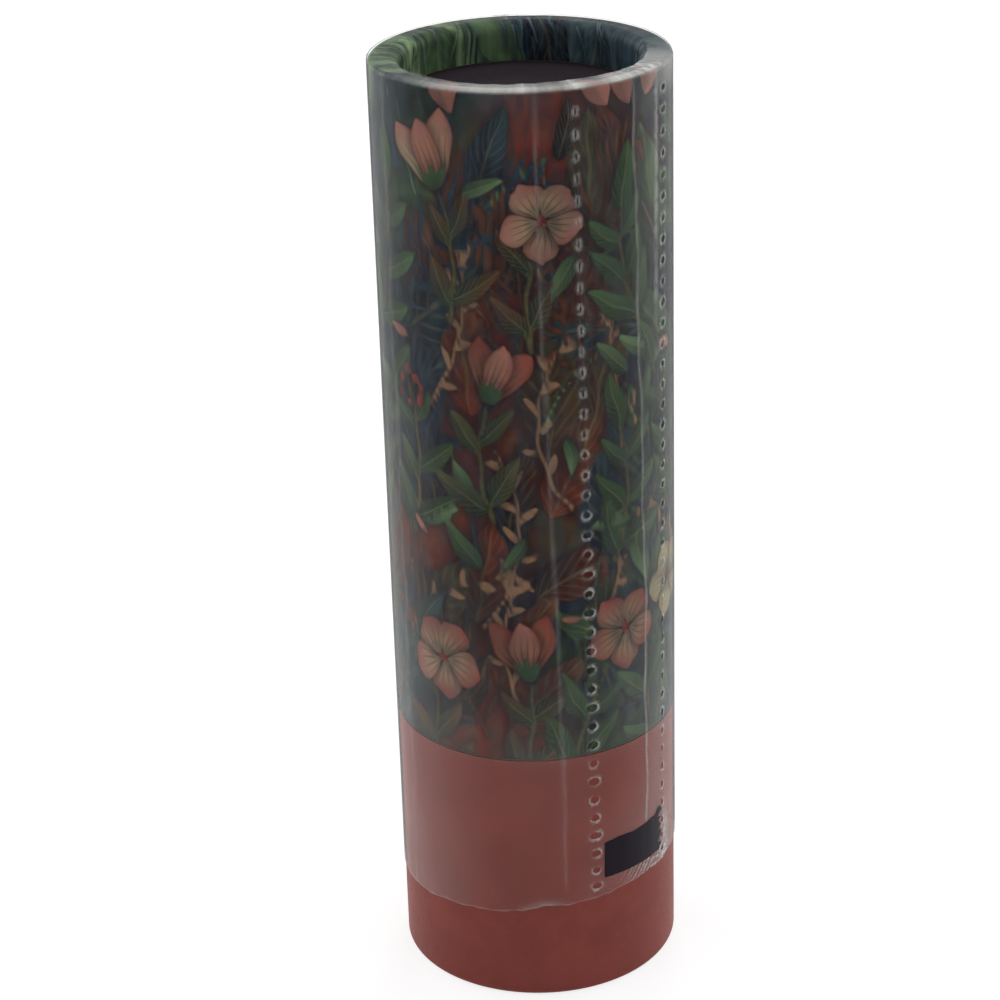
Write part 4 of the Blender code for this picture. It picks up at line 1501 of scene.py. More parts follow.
@dataclass
class Cap:
    """The cap: printed paper over two board tubes, with a dark board disc in its recess."""

    wall_steps: int = 300
    wall_cuts: int = 300
    rim_steps: int = 720
    board_segments: int = 144
    thickness: float = 0.00015
    fullness: float = 0.00004
    rounding: float = 0.0005
    roll: float = 0.0010
    rim_wall: float = 0.0003
    recess_rows: int = 12
    pleats: int = 64
    pleat_depth: float = 0.00018
    pleat_dip: float = 0.00004
    valley: float = -0.7
    seam_step: float = 0.00004
    seam_angles: Tuple[float, float] = (171.0, 171.5)
    sheet_end: float = 0.006
    board_edge: float = 0.00005
    disc_edge: float = 0.0001
    disc_dish: float = 0.00005
    seed: int = 5

    def __post_init__(self) -> None:
        """Reads the cap's sizes from the frame."""
        low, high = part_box("cap_wrap")
        self.radius, self.mouth, self.crest = high.x + self.fullness, low.z, high.z
        self.recess = smallest_radius("cap_wrap")
        disc_low, disc_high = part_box("cap_disc")
        self.ceiling, self.floor, self.disc_radius = disc_low.z, disc_high.z, disc_high.x
        self.wall_top = self.crest - self.rounding - self.rim_wall

    def paint(self, paper: bpy.types.Object) -> Tuple[Field, Field, Field, Field]:
        """Paints a piece of the paper and says where its vertices are.

        Args:
            paper: The piece of paper.

        Returns:
            Radius, angle and height of each vertex, and whether it is on the outer wall.
        """
        radius, angle, height = cylindrical(coordinates(paper))
        outer = radius > 0.5 * (self.radius + self.recess)
        along = np.where(outer, height + self.radius - radius,
                         self.crest + self.radius - radius + self.crest - height)
        sheet = np.stack([np.radians(angle) * self.radius, along], axis=1) / MM
        design = BotanicalPrint(self.radius / MM, self.mouth / MM, (self.crest + self.sheet_end) / MM)
        design.paint(paper, sheet)
        return radius, angle, height, outer

    def build_wall(self, name: str, front: bool) -> bpy.types.Object:
        """Builds half of the printed wall, the half that faces the viewer or the other one.

        Args:
            name: Name of the new piece.
            front: Whether it faces the viewer.

        Returns:
            The finished piece.
        """
        inside = self.radius - self.thickness
        outline = [(self.radius, self.mouth), (self.radius, self.wall_top)]
        outline += [(inside, self.wall_top), (inside, self.mouth)]
        dense = (self.radius, self.wall_top, self.wall_cuts)
        wall = turned_piece(name, outline, self.wall_steps, dense=dense, sweep=0.5 * TURN)
        places = coordinates(wall)
        turned = -1.0 if (places[:, 1].mean() < 0.0) != front else 1.0
        place_vertices(wall, places * np.array([turned, turned, 1.0]))
        radius, angle, height, _ = self.paint(wall)
        write_attribute(wall, "fold", np.zeros(len(angle)))
        lap = seam_at(angle, self.seam_step, self.seam_angles)
        place_vertices(wall, cartesian(radius - lap, angle, height))
        return wall

    def rim_outline(self) -> Outline:
        """The rim's outline, rounded at the crest and rolled down into the recess.

        Returns:
            Radii and heights, in metres.
        """
        corner, back = self.rounding, self.rounding - self.thickness
        outer = (self.radius - corner, self.crest - corner)
        inner = (self.recess + self.roll, self.crest - self.roll)
        foot = self.floor + self.disc_dish
        depth, rows = inner[1] - foot, self.recess_rows
        outline = [(self.radius, self.wall_top), (self.radius, self.wall_top + 0.5 * self.rim_wall)]
        outline += arc(outer, corner, 0.0, 90.0)
        outline += [(outer[0] + (inner[0] - outer[0]) * share, self.crest) for share in (0.25, 0.5, 0.75)]
        outline += arc(inner, self.roll, 90.0, 180.0, 12)
        outline += [(self.recess, inner[1] - depth * step / rows) for step in range(1, rows + 1)]
        outline += [(self.recess + self.thickness, foot)]
        outline += arc(inner, self.roll - self.thickness, 180.0, 90.0, 4)
        return outline + arc(outer, back, 90.0, 0.0, 3) + [(self.radius - self.thickness, self.wall_top)]

    def build_rim(self) -> bpy.types.Object:
        """Builds the paper's rim: rolled over the crest and down the recess, with its pleats, and stores their
        tone for the print's painted highlight and painted shade.

        Returns:
            The finished piece.
        """
        rim = turned_piece("cap_paper_rim", self.rim_outline(), self.rim_steps)
        radius, angle, height, outside = self.paint(rim)
        fold, below = self.fold_at(angle), self.crest - height
        crown = smooth_step(self.radius - radius, 0.1 * MM, 0.9 * MM)
        ease = 1.0 - 0.5 * smooth_step(below, 2.2 * MM, 3.0 * MM)
        ramp = crown * smooth_step(below, 0.05 * MM, 1.0 * MM) * ease
        radius = radius + self.pleat_depth * ramp * (0.5 - 0.5 * fold)
        height = height - self.pleat_dip * crown * (0.5 - 0.5 * fold)
        lap = seam_at(angle, self.seam_step, self.seam_angles) * outside
        place_vertices(rim, cartesian(radius - lap, angle, height))
        # Tone over the pleats: ridges lighter, partly rubbed print and partly painted highlight; valleys, and
        # the recess from about 1.6 mm below the crest down, darker as painted shade.
        dark = smooth_step(self.crest - height, 1.6 * MM, 2.9 * MM)
        tone = crown * (0.8 * fold + 0.45) * (1.0 - 0.5 * dark) - 0.45 * dark * crown
        write_attribute(rim, "fold", np.clip(tone, -1.0, 1.0))
        return rim

    def fold_at(self, angle: Field) -> Field:
        """How far the paper is folded up at an angle, -1 in a valley to 1 on a ridge.

        Args:
            angle: Degrees from the viewer's side.

        Returns:
            One value for each point.
        """
        random = np.random.default_rng(self.seed)
        centres = (np.arange(self.pleats) + random.uniform(-0.35, 0.35, self.pleats)) * 360.0 / self.pleats
        widths = random.uniform(1.0, 2.6, self.pleats)
        heights = random.uniform(0.3, 1.0, self.pleats)
        fold = np.full(len(angle), self.valley)
        for centre, width, height in zip(centres, widths, heights):
            away = (angle - centre + 180.0) % 360.0 - 180.0
            side = np.where(away > 0.0, 0.4 * width, 1.4 * width)
            fold = np.maximum(fold, self.valley + (height - self.valley) * bump_at(away, 0.0, side))
        return fold

    def build_disc(self) -> bpy.types.Object:
        """Builds the board disc, with its edge just broken and its top a little dished.

        Returns:
            The finished piece.
        """
        edge, radius = self.disc_edge, self.disc_radius
        shares = (0.0, 0.3, 0.6, 0.9)
        outline = [(radius * share, self.floor - self.disc_dish * (1.0 - share**2)) for share in shares]
        outline += [(radius - edge, self.floor), (radius, self.floor - edge), (radius, self.ceiling + edge)]
        outline += [(radius - edge, self.ceiling), (0.0, self.ceiling)]
        return turned_piece("cap_top_board", outline, self.board_segments, closed=False)

    def build_tube(self, name: str, node: str, chamfer: float, roll: float) -> bpy.types.Object:
        """Builds a board tube of the cap, its mouth eased and its top rolled on the inside.

        Args:
            name: Name of the new piece.
            node: CAD node that gives the sizes.
            chamfer: Chamfer inside the mouth.
            roll: Radius of the rolled top.

        Returns:
            The finished piece.
        """
        low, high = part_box(node)
        bore, edge = smallest_radius(node), self.board_edge
        outline = [(high.x, high.z - edge), (high.x, low.z + edge), (high.x - edge, low.z)]
        outline += [(bore + chamfer, low.z), (bore, low.z + chamfer)]
        outline += arc((bore + roll, high.z - roll), roll, 180.0, 90.0) + [(high.x - edge, high.z)]
        return turned_piece(name, outline, self.board_segments)

    def build(self) -> None:
        """Builds and dresses the cap."""
        kraft = BoardFinish("kraft_board", KRAFT, KRAFT_FLECK).material()
        dark = BoardFinish("dark_board", srgb(43, 36, 42), srgb(60, 53, 57), 0.88, 0.004).material()
        printed = PrintFinish("printed_paper").material()
        front, back = self.build_wall("cap_paper_front", True), self.build_wall("cap_paper_back", False)
        for piece in (front, back, self.build_rim()):
            dress(piece, Body.CAP, printed, ["cap_wrap"])
        dress(self.build_disc(), Body.CAP, dark, ["cap_disc"])
        for name, node, chamfer, roll in (
            ("cap_outer_board", "cap_tube", 0.00005, 0.00005),
            ("cap_inner_board", "cap_liner", 0.0003, 0.0009),
        ):
            dress(self.build_tube(name, node, chamfer, roll), Body.CAP, kraft, [node])


@dataclass
class Base:
    """The base: brick paper over board tubes, with the mechanism's guide tube inside."""

    segments: int = 256
    board_segments: int = 144
    thickness: float = 0.00015
    fullness: float = 0.00010
    corner: float = 0.00035
    seam_step: float = 0.00004
    seam_angles: Tuple[float, float] = (171.0, 172.4)
    turn_in_gap: float = 0.00005
    board_edge: float = 0.00005
    disc_edge: float = 0.0001

    def __post_init__(self) -> None:
        """Reads the base's sizes from the frame."""
        low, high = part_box("base_wrap")
        self.radius, self.foot, self.top = high.x + self.fullness, low.z, high.z
        self.recess = smallest_radius("base_wrap")
        disc_low, disc_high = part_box("base_disc")
        self.disc_bottom, self.disc_top, self.disc_radius = disc_low.z, disc_high.z, disc_high.x

    def build_paper(self) -> bpy.types.Object:
        """Builds the brick paper, turned in under the foot, with its overlap at the back.

        Returns:
            The finished piece.
        """
        corner, back = self.corner, self.corner - self.thickness
        outer = (self.radius - corner, self.foot + corner)
        inner = (self.recess + corner, self.foot + corner)
        end = self.disc_bottom - self.turn_in_gap
        outline = [(self.radius, self.top)] + arc(outer, corner, 0.0, -90.0)
        outline += arc(inner, corner, -90.0, -180.0)
        outline += [(self.recess, end), (self.recess + self.thickness, end)]
        outline += arc(inner, back, -180.0, -90.0, 3) + arc(outer, back, -90.0, 0.0, 3)
        outline += [(self.radius - self.thickness, self.top)]
        paper = turned_piece("base_paper", outline, self.segments)
        radius, angle, height = cylindrical(coordinates(paper))
        seam = seam_at(angle, self.seam_step, self.seam_angles) * (radius > self.recess + 1.0 * MM)
        place_vertices(paper, cartesian(radius - seam, angle, height))
        return paper

    def build_tube(self, name: str, node: str, chamfer: float) -> bpy.types.Object:
        """Builds a board tube of the base, with the inner edge of its top eased.

        Args:
            name: Name of the new piece.
            node: CAD node that gives the sizes.
            chamfer: Chamfer inside the top.

        Returns:
            The finished piece.
        """
        low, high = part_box(node)
        bore, edge = smallest_radius(node), self.board_edge
        outline = [(high.x - edge, high.z), (high.x, high.z - edge), (high.x, low.z)]
        outline += [(bore, low.z), (bore, high.z - chamfer), (bore + chamfer, high.z)]
        return turned_piece(name, outline, self.board_segments)

    def build_disc(self) -> bpy.types.Object:
        """Builds the board disc that closes the base.

        Returns:
            The finished piece.
        """
        edge, radius, bottom = self.disc_edge, self.disc_radius, self.disc_bottom
        outline = [(0.0, self.disc_top), (radius, self.disc_top), (radius, bottom + edge)]
        outline += [(radius - edge, bottom), (0.0, bottom)]
        return turned_piece("foot_board", outline, self.board_segments, closed=False)

    def build(self) -> None:
        """Builds and dresses the base, and dresses the CAD nodes inside it."""
        brick = PaperFinish("brick_paper", BRICK, srgb(168, 104, 94), rub_height=self.foot).material()
        kraft = BoardFinish("base_kraft_board", KRAFT, KRAFT_FLECK).material()
        board = BoardFinish("brick_board", srgb(122, 62, 54), srgb(150, 92, 80), 0.8, 0.004).material()
        pale = PlasticFinish("pale_plastic", srgb(198, 196, 190), 0.38).material()
        rubber = PlasticFinish("dark_rubber", srgb(50, 50, 52), 0.7, ripple=0.00001).material()
        dress(self.build_paper(), Body.BASE, brick, ["base_wrap"])
        for name, node, chamfer in (
            ("base_outer_board", "base_tube", 0.00005), ("base_inner_board", "base_sleeve", 0.0003)
        ):
            dress(self.build_tube(name, node, chamfer), Body.BASE, kraft, [node])
        dress(self.build_disc(), Body.BASE, board, ["base_disc"])
        dress_node("guide_tube", pale)
        dress_node("friction_ring", rubber)
        dress_node("spiral_sleeve", pale)


@dataclass
class Mechanism:
    """The collar that fingers turn, and the cup with its bullet of lipstick."""

    segments: int = 192
    collar_wall: float = 0.0005
    lip: float = 0.0008
    lip_edge: float = 0.0001
    lip_rounding: float = 0.00035
    grip_height: float = 0.0009
    grip_above_base: float = 0.0032
    grip_rise: float = 0.00007
    grip_steps: int = 8
    nose_height: float = 0.0062
    nose_steps: int = 24
    foot_edge: float = 0.0003
    slant: float = 52.0
    ridge_share: float = 0.42
    slant_edge: float = 0.00018
    cut_reach: float = 0.00001

    def build_collar(self) -> bpy.types.Object:
        """Builds the collar, with its rounded lip and its grip bead.

        Returns:
            The finished piece.
        """
        low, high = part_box("collar")
        bore, radius, edge = smallest_radius("collar"), high.x - self.grip_rise, self.lip_edge
        wall_bore, rounding = radius - self.collar_wall, self.lip_rounding
        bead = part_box("base_wrap")[1].z + self.grip_above_base
        outline = [(bore + edge, high.z)] + arc((radius - rounding, high.z - rounding), rounding, 90.0, 0.0)
        for step in range(self.grip_steps + 1):
            share = step / self.grip_steps
            outline.append((radius + self.grip_rise * math.sin(math.pi * share) ** 2,
                            bead + self.grip_height * (0.5 - share)))
        outline += [(radius, low.z), (wall_bore, low.z), (wall_bore, high.z - self.lip)]
        outline += [(bore, high.z - self.lip), (bore, high.z - edge)]
        return turned_piece("twist_collar", outline, self.segments)

    def build_bullet(self) -> bpy.types.Object:
        """Builds the bullet: a domed stick, cut by one slanted face with an eased edge.

        Returns:
            The finished piece.
        """
        low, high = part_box("lipstick_bullet")
        radius, nose, edge = high.x, self.nose_height, self.foot_edge
        shoulder = high.z - nose * math.sqrt(1.0 - self.ridge_share**2)
        outline = []
        for step in range(self.nose_steps + 1):
            angle = 0.5 * math.pi * step / self.nose_steps
            outline.append((radius * math.sin(angle), shoulder + nose * math.cos(angle)))
        outline += [(radius, low.z + edge), (radius - edge, low.z), (0.0, low.z)]
        bullet = turned_piece("bullet_stick", outline, self.segments, closed=False)
        normal = Matrix.Rotation(math.radians(self.slant), 3, "X") @ Vector((0.0, 0.0, 1.0))
        ridge = Vector((0.0, self.ridge_share * radius, high.z))
        activate(bullet)
        bpy.ops.object.mode_set(mode="EDIT")
        bpy.ops.mesh.select_all(action="SELECT")
        bpy.ops.mesh.bisect(plane_co=ridge, plane_no=normal, use_fill=True, clear_outer=True)
        select_vertices(bullet, lambda co: abs((co - ridge).dot(normal)) < self.cut_reach)
        bpy.ops.mesh.bevel(offset=self.slant_edge, segments=3, affect="EDGES")
        bpy.ops.object.mode_set(mode="OBJECT")
        return finish_mesh(bullet, "bullet_stick")

    def build(self) -> None:
        """Builds and dresses the collar and the bullet, and dresses the cup."""
        black = PlasticFinish("black_plastic", srgb(16, 16, 18), 0.24, coat=0.25).material()
        wax = WaxFinish("brick_rose_wax", srgb(160, 60, 57), srgb(151, 54, 52)).material()
        dress(self.build_collar(), Body.TWIST, black, ["collar"])
        dress(self.build_bullet(), Body.CARRIER, wax, ["lipstick_bullet"])
        dress_node("carrier_cup", black)


class Part(Enum):
    """The sheets of film, by their names."""

    SLEEVE = "clear_sleeve"
    OVERLAP = "clear_overlap"
    STRIP = "clear_strip"


FILM_COLUMNS = {Part.SLEEVE: 112, Part.OVERLAP: 96, Part.STRIP: 84}


@dataclass(frozen=True)
class Perforation:
    """One perforated line: its side, the sizes of its holes and how their torn rims catch light.

    Pairs are a size at the lower holes and one at the upper holes.
    """

    side: float
    tints: int
    wide: Tuple[float, float]
    burr: Tuple[float, float]
    fading: float
    low_gain: float


@dataclass(frozen=True)
class Crease:
    """A long crease down the film, in degrees and metres.

    The lean is how far it has moved round at the lower of the two lean heights, and the starts
    are the heights between which it sets in.
    """

    angle: float
    strength: float
    width: float
    wander: float
    worn: float = 1.0
    lean: float = 0.0
    lean_heights: Tuple[float, float] = (0.030, 0.075)
    starts: Tuple[float, float] = (-1.0, -0.5)

    def middle(self, height: Field, wobble: Field) -> Field:
        """The crease's angle at a height."""
        low, high = self.lean_heights
        return self.angle + self.lean * smooth_step(-height, -high, -low) + self.wander * wobble

    def at(self, angle: Field, height: Field, wobble: Field, wear: Field) -> Field:
        """How strong the crease is at a place, for its wobble and wear at that height."""
        strength = self.strength * (1.0 + self.worn * (wear - 1.0)) * smooth_step(height, *self.starts)
        return strength * bump_at(angle, self.middle(height, wobble), self.width)


@dataclass
class Film:
    """The clear film over the cap and the base, and its tear strip between two perforated lines.

    A point of the film is given by its angle round the tube and its height, which is counted on
    past the crest, over the rim and along the lip. A swell is a size, an angle and a width. Rows of
    rim_whites are swells with the share that isn't broken up. They, the knot and the shoulder paint
    the film white over the rim: partly its crumpled whiteness, partly a painted highlight that is
    strongest in a band along the front of the crest.
    """

    thickness: float = 0.00004
    slack: float = 0.00003
    middle: float = 42.75
    width: float = 0.0083
    taper: float = 0.0019
    slit: float = 0.00002
    edge_height: float = 0.0082
    edge_rise: float = 0.0011
    squeeze_height: float = 0.012
    lip_width: float = 0.0011
    pitch: float = 0.00165
    first_hole: float = 0.0094
    holes: int = 40
    rim_rows: int = 22
    lap_angles: Tuple[float, float] = (-176.0, 190.0)
    hole_shares: Sequence[float] = (-1.0, -0.8, -0.35, 0.35, 0.8, 1.0)
    rim_steps: Sequence[float] = (0.00010, 0.00036)
    edge_columns: Sequence[float] = (0.0, 0.00007, 0.00016, 0.00028, 0.00046, 0.00075, 0.0012, 0.0017)
    hole_tall: Tuple[float, float] = (0.00028, 0.00024)
    change: Tuple[float, float] = (0.030, 0.058)
    left: Perforation = Perforation(-1.0, 0, (0.00040, 0.00004), (0.00012, 0.00016), 0.34, 0.0)
    right: Perforation = Perforation(1.0, 1, (0.00020, 0.00034), (0.00012, 0.00014), 0.22, 0.25)
    mark_angles: Tuple[float, float] = (27.2, 60.0)
    mark_heights: Tuple[float, float] = (0.0102, 0.0136)
    mark_crease: Crease = Crease(45.4, 0.50, 0.7, 1.0, lean=4.6, starts=(0.0135, 0.0142))
    mark_gain: float = 0.42
    mark_bloom: float = 0.08
    long_creases: Sequence[Crease] = (
        Crease(5.0, 0.26, 0.8, 0.4, lean=5.5, lean_heights=(0.015, 0.070), starts=(0.009, 0.011)),
        Crease(59.4, 1.1, 0.7, 0.4, starts=(0.052, 0.062)),
        Crease(-62.0, 0.22, 0.8, 2.0, worn=0.0),
        Crease(186.0, 0.4, 0.6, 0.0, worn=0.0),
    )
    wrinkle_waves: Waves = (
        (0.20, 3.0, 40.0, 0.0), (0.16, 7.0, -130.0, 1.0), (0.16, 19.0, 160.0, 2.0), (0.08, 47.0, -90.0, 0.0)
    )
    edge_waves: Waves = ((0.00005, 9.0, 0.0, 1.0), (0.00004, 23.0, 0.0, 0.0), (0.00003, 57.0, 0.0, 0.0))
    scallop_waves: Waves = ((0.10, 5.0, 0.0, 0.0), (0.03, 29.0, 0.0, 1.0))
    # White over the crest, partly crumpled film and partly painted highlight; the first row is the band along
    # the front.
    rim_whites: Sequence[Tuple[float, float, float, float]] = (
        (0.935, -10.0, 27.0, 0.8),
        (1.3, 21.0, 4.0, 0.4),
        (0.5, 0.5, 2.2, 1.0),
        (1.25, 41.0, 9.5, 0.75),
    )
    knot: Swell = (1.2, 58.0, 7.0)
    shoulder: Swell = (0.40, 72.0, 13.0)
    shoulder_depth: float = 0.0032
    edge_roll: Swell = (0.0002, 1.0, 6.0)
    edge_crumple: Swell = (0.00013, 66.0, 12.0)
    comb: Swell = (0.9, 52.0, 11.0)
    comb_below: float = 0.0004
    comb_width: float = 0.0008
    mark_corner: Swell = (1.1, 63.0, 3.5)
    beside_mark: Swell = (0.35, 65.0, 3.0)
    beside_heights: Tuple[float, float] = (0.0118, 0.0016)
    corner: float = 0.00056
    corner_dent: Swell = (0.00030, -80.0, 25.0)
    lip_dip: float = 0.00004
    dip_reach: float = 0.0010
    under_angles: Tuple[float, float] = (165.0, 169.0)
    smooth_shares: Tuple[float, float] = (0.24, 0.6)
    torn_shares: Tuple[float, float] = (0.46, 0.85)
    whitest: float = 0.85
    crowding: float = 1.3
    seed: int = 3

    def __post_init__(self) -> None:
        """Reads the film's sizes from the frame and works out its rows."""
        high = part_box("film_sleeve")[1]
        self.radius, self.crest = high.x, high.z
        random = np.random.default_rng(self.seed)
        self.tints = random.uniform(0.0, 1.0, (2, self.holes, 4))
        self.bottom = self.first_hole - 0.75 * self.pitch
        self.rows = self.row_heights()

    def row_heights(self) -> Field:
        """Heights of the grid's rows: close together at each hole, then over the rim to the lip.

        Returns:
            The heights from the lower edge up, in metres.
        """
        heights = [self.bottom, self.bottom + 0.00015, self.bottom + 0.0004]
        for hole in range(self.holes):
            centre = self.first_hole + self.pitch * hole
            tall = float(self.blend(self.hole_tall, np.array(centre)))
            heights += [centre - tall - step for step in reversed(self.rim_steps)]
            heights += [centre + tall * share for share in self.hole_shares]
            heights += [centre + tall + step for step in self.rim_steps]
        start, end = heights[-1], self.crest + self.lip_width + 0.0005
        heights += [start + (end - start) * (step + 1) / self.rim_rows for step in range(self.rim_rows)]
        return np.array(heights)

    def blend(self, sizes: Tuple[float, float], height: Field) -> Field:
        """A size that changes from the lower holes to the upper ones."""
        return sizes[0] + (sizes[1] - sizes[0]) * smooth_step(height, *self.change)

    def line(self, side: float, height: Field) -> Field:
        """Angle of a perforated line at a height."""
        half = 0.5 * self.width + 0.5 * self.taper * (height / self.crest - 0.5)
        return self.middle + side * np.degrees(half / self.radius)

    def hole_at(self, row: Perforation, height: Field) -> Tuple[Field, Field, Field, Field]:
        """The hole nearest to a height.

        Args:
            row: The perforated line.
            height: The heights.

        Returns:
            The hole's tints, how far above its centre each height is, and half its width and height.
        """
        number = np.clip(np.round((height - self.first_hole) / self.pitch), 0, self.holes - 1).astype(int)
        centre = self.first_hole + self.pitch * number
        tint = self.tints[row.tints][number]
        wide = self.blend(row.wide, centre) * (0.75 + 0.5 * tint[..., 3])
        return tint, height - centre, wide, self.blend(self.hole_tall, centre)

    def notch(self, row: Perforation, height: Field) -> Field:
        """How far the edge is set back by the hole at a height.

        Args:
            row: The perforated line.
            height: Heights on the grid, in metres.

        Returns:
            Metres, 0 between holes.
        """
        _, above, wide, tall = self.hole_at(row, height)
        corner = np.minimum(wide, tall)
        past = np.maximum(np.abs(above) - (tall - corner), 0.0)
        reach = (wide - corner) + np.sqrt(np.clip(corner**2 - past**2, 0.0, None))
        return np.where(np.abs(above) < tall, reach, 0.0)

    def ring(self, row: Perforation, angle: Field, height: Field) -> Field:
        """How white the torn rims of the holes of one line are painted, 0 to 1: partly the torn film's
        whitening, partly a painted highlight where the raised rims catch light.

        Args:
            row: The perforated line.
            angle: Degrees from the viewer's side.
            height: Heights on the grid, in metres.

        Returns:
            One value for each point.
        """
        tint, above, wide, tall = self.hole_at(row, height)
        aside = np.radians(angle - self.line(row.side, height)) * self.radius
        corner = np.minimum(wide, tall)
        past_side = np.maximum(np.abs(aside) - (wide - corner), 0.0)
        out = np.hypot(past_side, np.maximum(np.abs(above) - (tall - corner), 0.0))
        turn = np.arctan2(above, aside)
        low = 1.0 - smooth_step(height, 0.030, 0.060)
        open_side = -0.15 * math.pi + 2.6 * (tint[:, 0] - 0.5)
        lower = 0.52 + 0.48 * np.cos(turn - open_side)
        upper = 0.5 + 0.5 * np.abs(np.cos(turn + 0.9 * (tint[:, 1] - 0.5)))
        strength = (0.5 + 0.5 * tint[:, 2]) * (lower * low + upper * (1.0 - low))
        strength = strength * (0.9 - row.fading * (1.0 - low) + row.low_gain * low)
        burr = self.blend(row.burr, height)
        return strength * bump_at(out - corner, 0.5 * burr, burr) * (height < self.crest - 0.0008)

    def ragged_edge(self, angle: Field) -> Field:
        """Height of the film's lower edge at an angle.

        Args:
            angle: Degrees from the viewer's side.

        Returns:
            Metres above the floor.
        """
        turn = np.radians(angle)
        slanted = self.edge_height + self.edge_rise * np.sin(turn) + waves(self.edge_waves, turn)
        return slanted + swell(angle, self.edge_roll) + np.sin(angle * 2.6) * swell(angle, self.edge_crumple)

    def level(self, angle: Field, height: Field) -> Field:
        """Height in space on the wall: the lowest rows follow the ragged edge.

        Args:
            angle: Degrees from the viewer's side.
            height: Heights on the grid, in metres.

        Returns:
            Heights in space, in metres.
        """
        edge = self.ragged_edge(angle)
        share = (height - self.bottom) / (self.squeeze_height - self.bottom)
        return np.where(height < self.squeeze_height, edge + share * (self.squeeze_height - edge), height)

    def wrinkles(self, angle: Field, height: Field) -> Field:
        """How far the film lies in from its outer limit, 0 to 1.

        Args:
            angle: Degrees from the viewer's side.
            height: Heights on the grid, in metres.

        Returns:
            One value for each point.
        """
        turn = np.radians(angle)
        wave = 0.5 + waves(self.wrinkle_waves, turn, height)
        near_rim = smooth_step(height, self.crest - 0.003, self.crest - 0.0004)
        pucker = 0.5 + 0.5 * np.sin(61.0 * turn + 4.0 * np.sin(5.0 * turn))
        return np.clip(wave * (1.0 - 0.7 * near_rim) + near_rim * (0.2 + 0.8 * pucker), 0.0, 1.0)

    def creases(self, angle: Field, height: Field) -> Field:
        """How strongly the film is creased at a place, 0 to 1.

        Args:
            angle: Degrees from the viewer's side.
            height: Heights on the grid, in metres.

        Returns:
            One value for each point.
        """
        wobble = 0.5 * np.sin(height * 420.0) + 0.3 * np.sin(height * 1130.0 + 1.0)
        wear = 0.75 + 0.25 * np.sin(height * 700.0 + 2.0) * np.sin(height * 1700.0)
        main = self.mark_crease
        gain = 1.0 + self.mark_gain / main.strength * smooth_step(-height, -0.045, -0.020)
        middle = main.middle(height, wobble)
        past = smooth_step(angle, middle, middle + 1.0) * (1.0 - smooth_step(angle, 60.0, 63.0))
        strength = gain * main.at(angle, height, wobble, wear)
        strength += self.mark_bloom * past * smooth_step(height, *main.starts)
        for crease in self.long_creases:
            strength += crease.at(angle, height, wobble, wear)
        return np.clip(strength, 0.0, 1.0)

    def crumple(self, angle: Field, height: Field) -> Field:
        """How strongly the film is folded where it shrank over the rim, and painted white there, 0 to 1.4:
        partly its crumpled whiteness, partly a painted highlight, strongest along the front of the crest.

        Args:
            angle: Degrees from the viewer's side.
            height: Heights on the grid, in metres.

        Returns:
            One value for each point.
        """
        turn = np.radians(angle)
        top = smooth_step(height, self.crest - 0.0003, self.crest - 0.00005)
        top = top * (1.0 - 0.6 * smooth_step(height, self.crest + 0.00015, self.crest + 0.0008))
        fine = 0.5 + 0.5 * np.sin(83.0 * turn + 5.0 * np.sin(7.0 * turn)) * np.sin(37.0 * turn + 1.0)
        white = 0.004 + 0.05 * fine * fine
        for *white_patch, plain in self.rim_whites:
            white += swell(angle, white_patch) * (plain + (1.0 - plain) * fine)
        knot = 0.6 + 0.4 * np.sin(angle * 1.3 + height * 5200.0 + 2.0 * fine)
        white += swell(angle, self.knot) * knot
        shoulder = smooth_step(height, self.crest - self.shoulder_depth, self.crest)
        return np.clip(top * white + swell(angle, self.shoulder) * shoulder, 0.0, 1.4)

    def teeth(self, angle: Field, height: Field) -> Field:
        """How strongly the film's lower edge is crumpled under the mark, 0 to 1, and painted white there:
        partly crumpled film, partly painted highlight.

        Args:
            angle: Degrees from the viewer's side.
            height: Heights on the grid, in metres.

        Returns:
            One value for each point.
        """
        level = self.level(angle, height)
        band = bump_at(level, self.mark_heights[0] - self.comb_below, self.comb_width)
        slant = angle - level * 4200.0
        comb = swell(angle, self.comb) * np.clip(np.sin(slant * 2.3 + 0.7 * np.sin(slant * 0.9)), 0.0, 1.0) ** 3
        corner = swell(angle, self.mark_corner) * (0.6 + 0.4 * np.sin(height * 14000.0 + angle))
        beside = swell(angle, self.beside_mark) * bump_at(level, *self.beside_heights)
        return np.clip(band * (comb + corner) + beside, 0.0, 1.0)

    def shape(self, angle: Field, height: Field, lift: Field) -> Field:
        """Place in space of a point of the film's outer face.

        Args:
            angle: Its angle round the tube.
            height: Its height, counted on past the crest.
            lift: How far it is pressed out by folds and torn rims, 0 to 1.

        Returns:
            Its place.
        """
        turn = np.radians(angle)
        corner = self.corner - swell(angle, self.corner_dent)
        start = self.crest - corner
        bend = np.clip((height - start) / corner, 0.0, 0.5 * math.pi)
        past = np.maximum(height - start - corner * 0.5 * math.pi, 0.0)
        past = past * (1.0 + waves(self.scallop_waves, turn))
        inset = self.slack * self.wrinkles(angle, height) * (1.0 - 0.9 * lift)
        radius = self.radius - corner + (corner - inset) * np.cos(bend) - past
        dip = self.lip_dip * smooth_step(past, 0.0, self.dip_reach) * (0.4 + 0.6 * np.sin(turn * 17.0) ** 2)
        rise = self.level(angle, np.minimum(height, start)) + corner * np.sin(bend)
        return cartesian(radius, angle, rise - dip - 0.4 * inset * np.sin(bend))

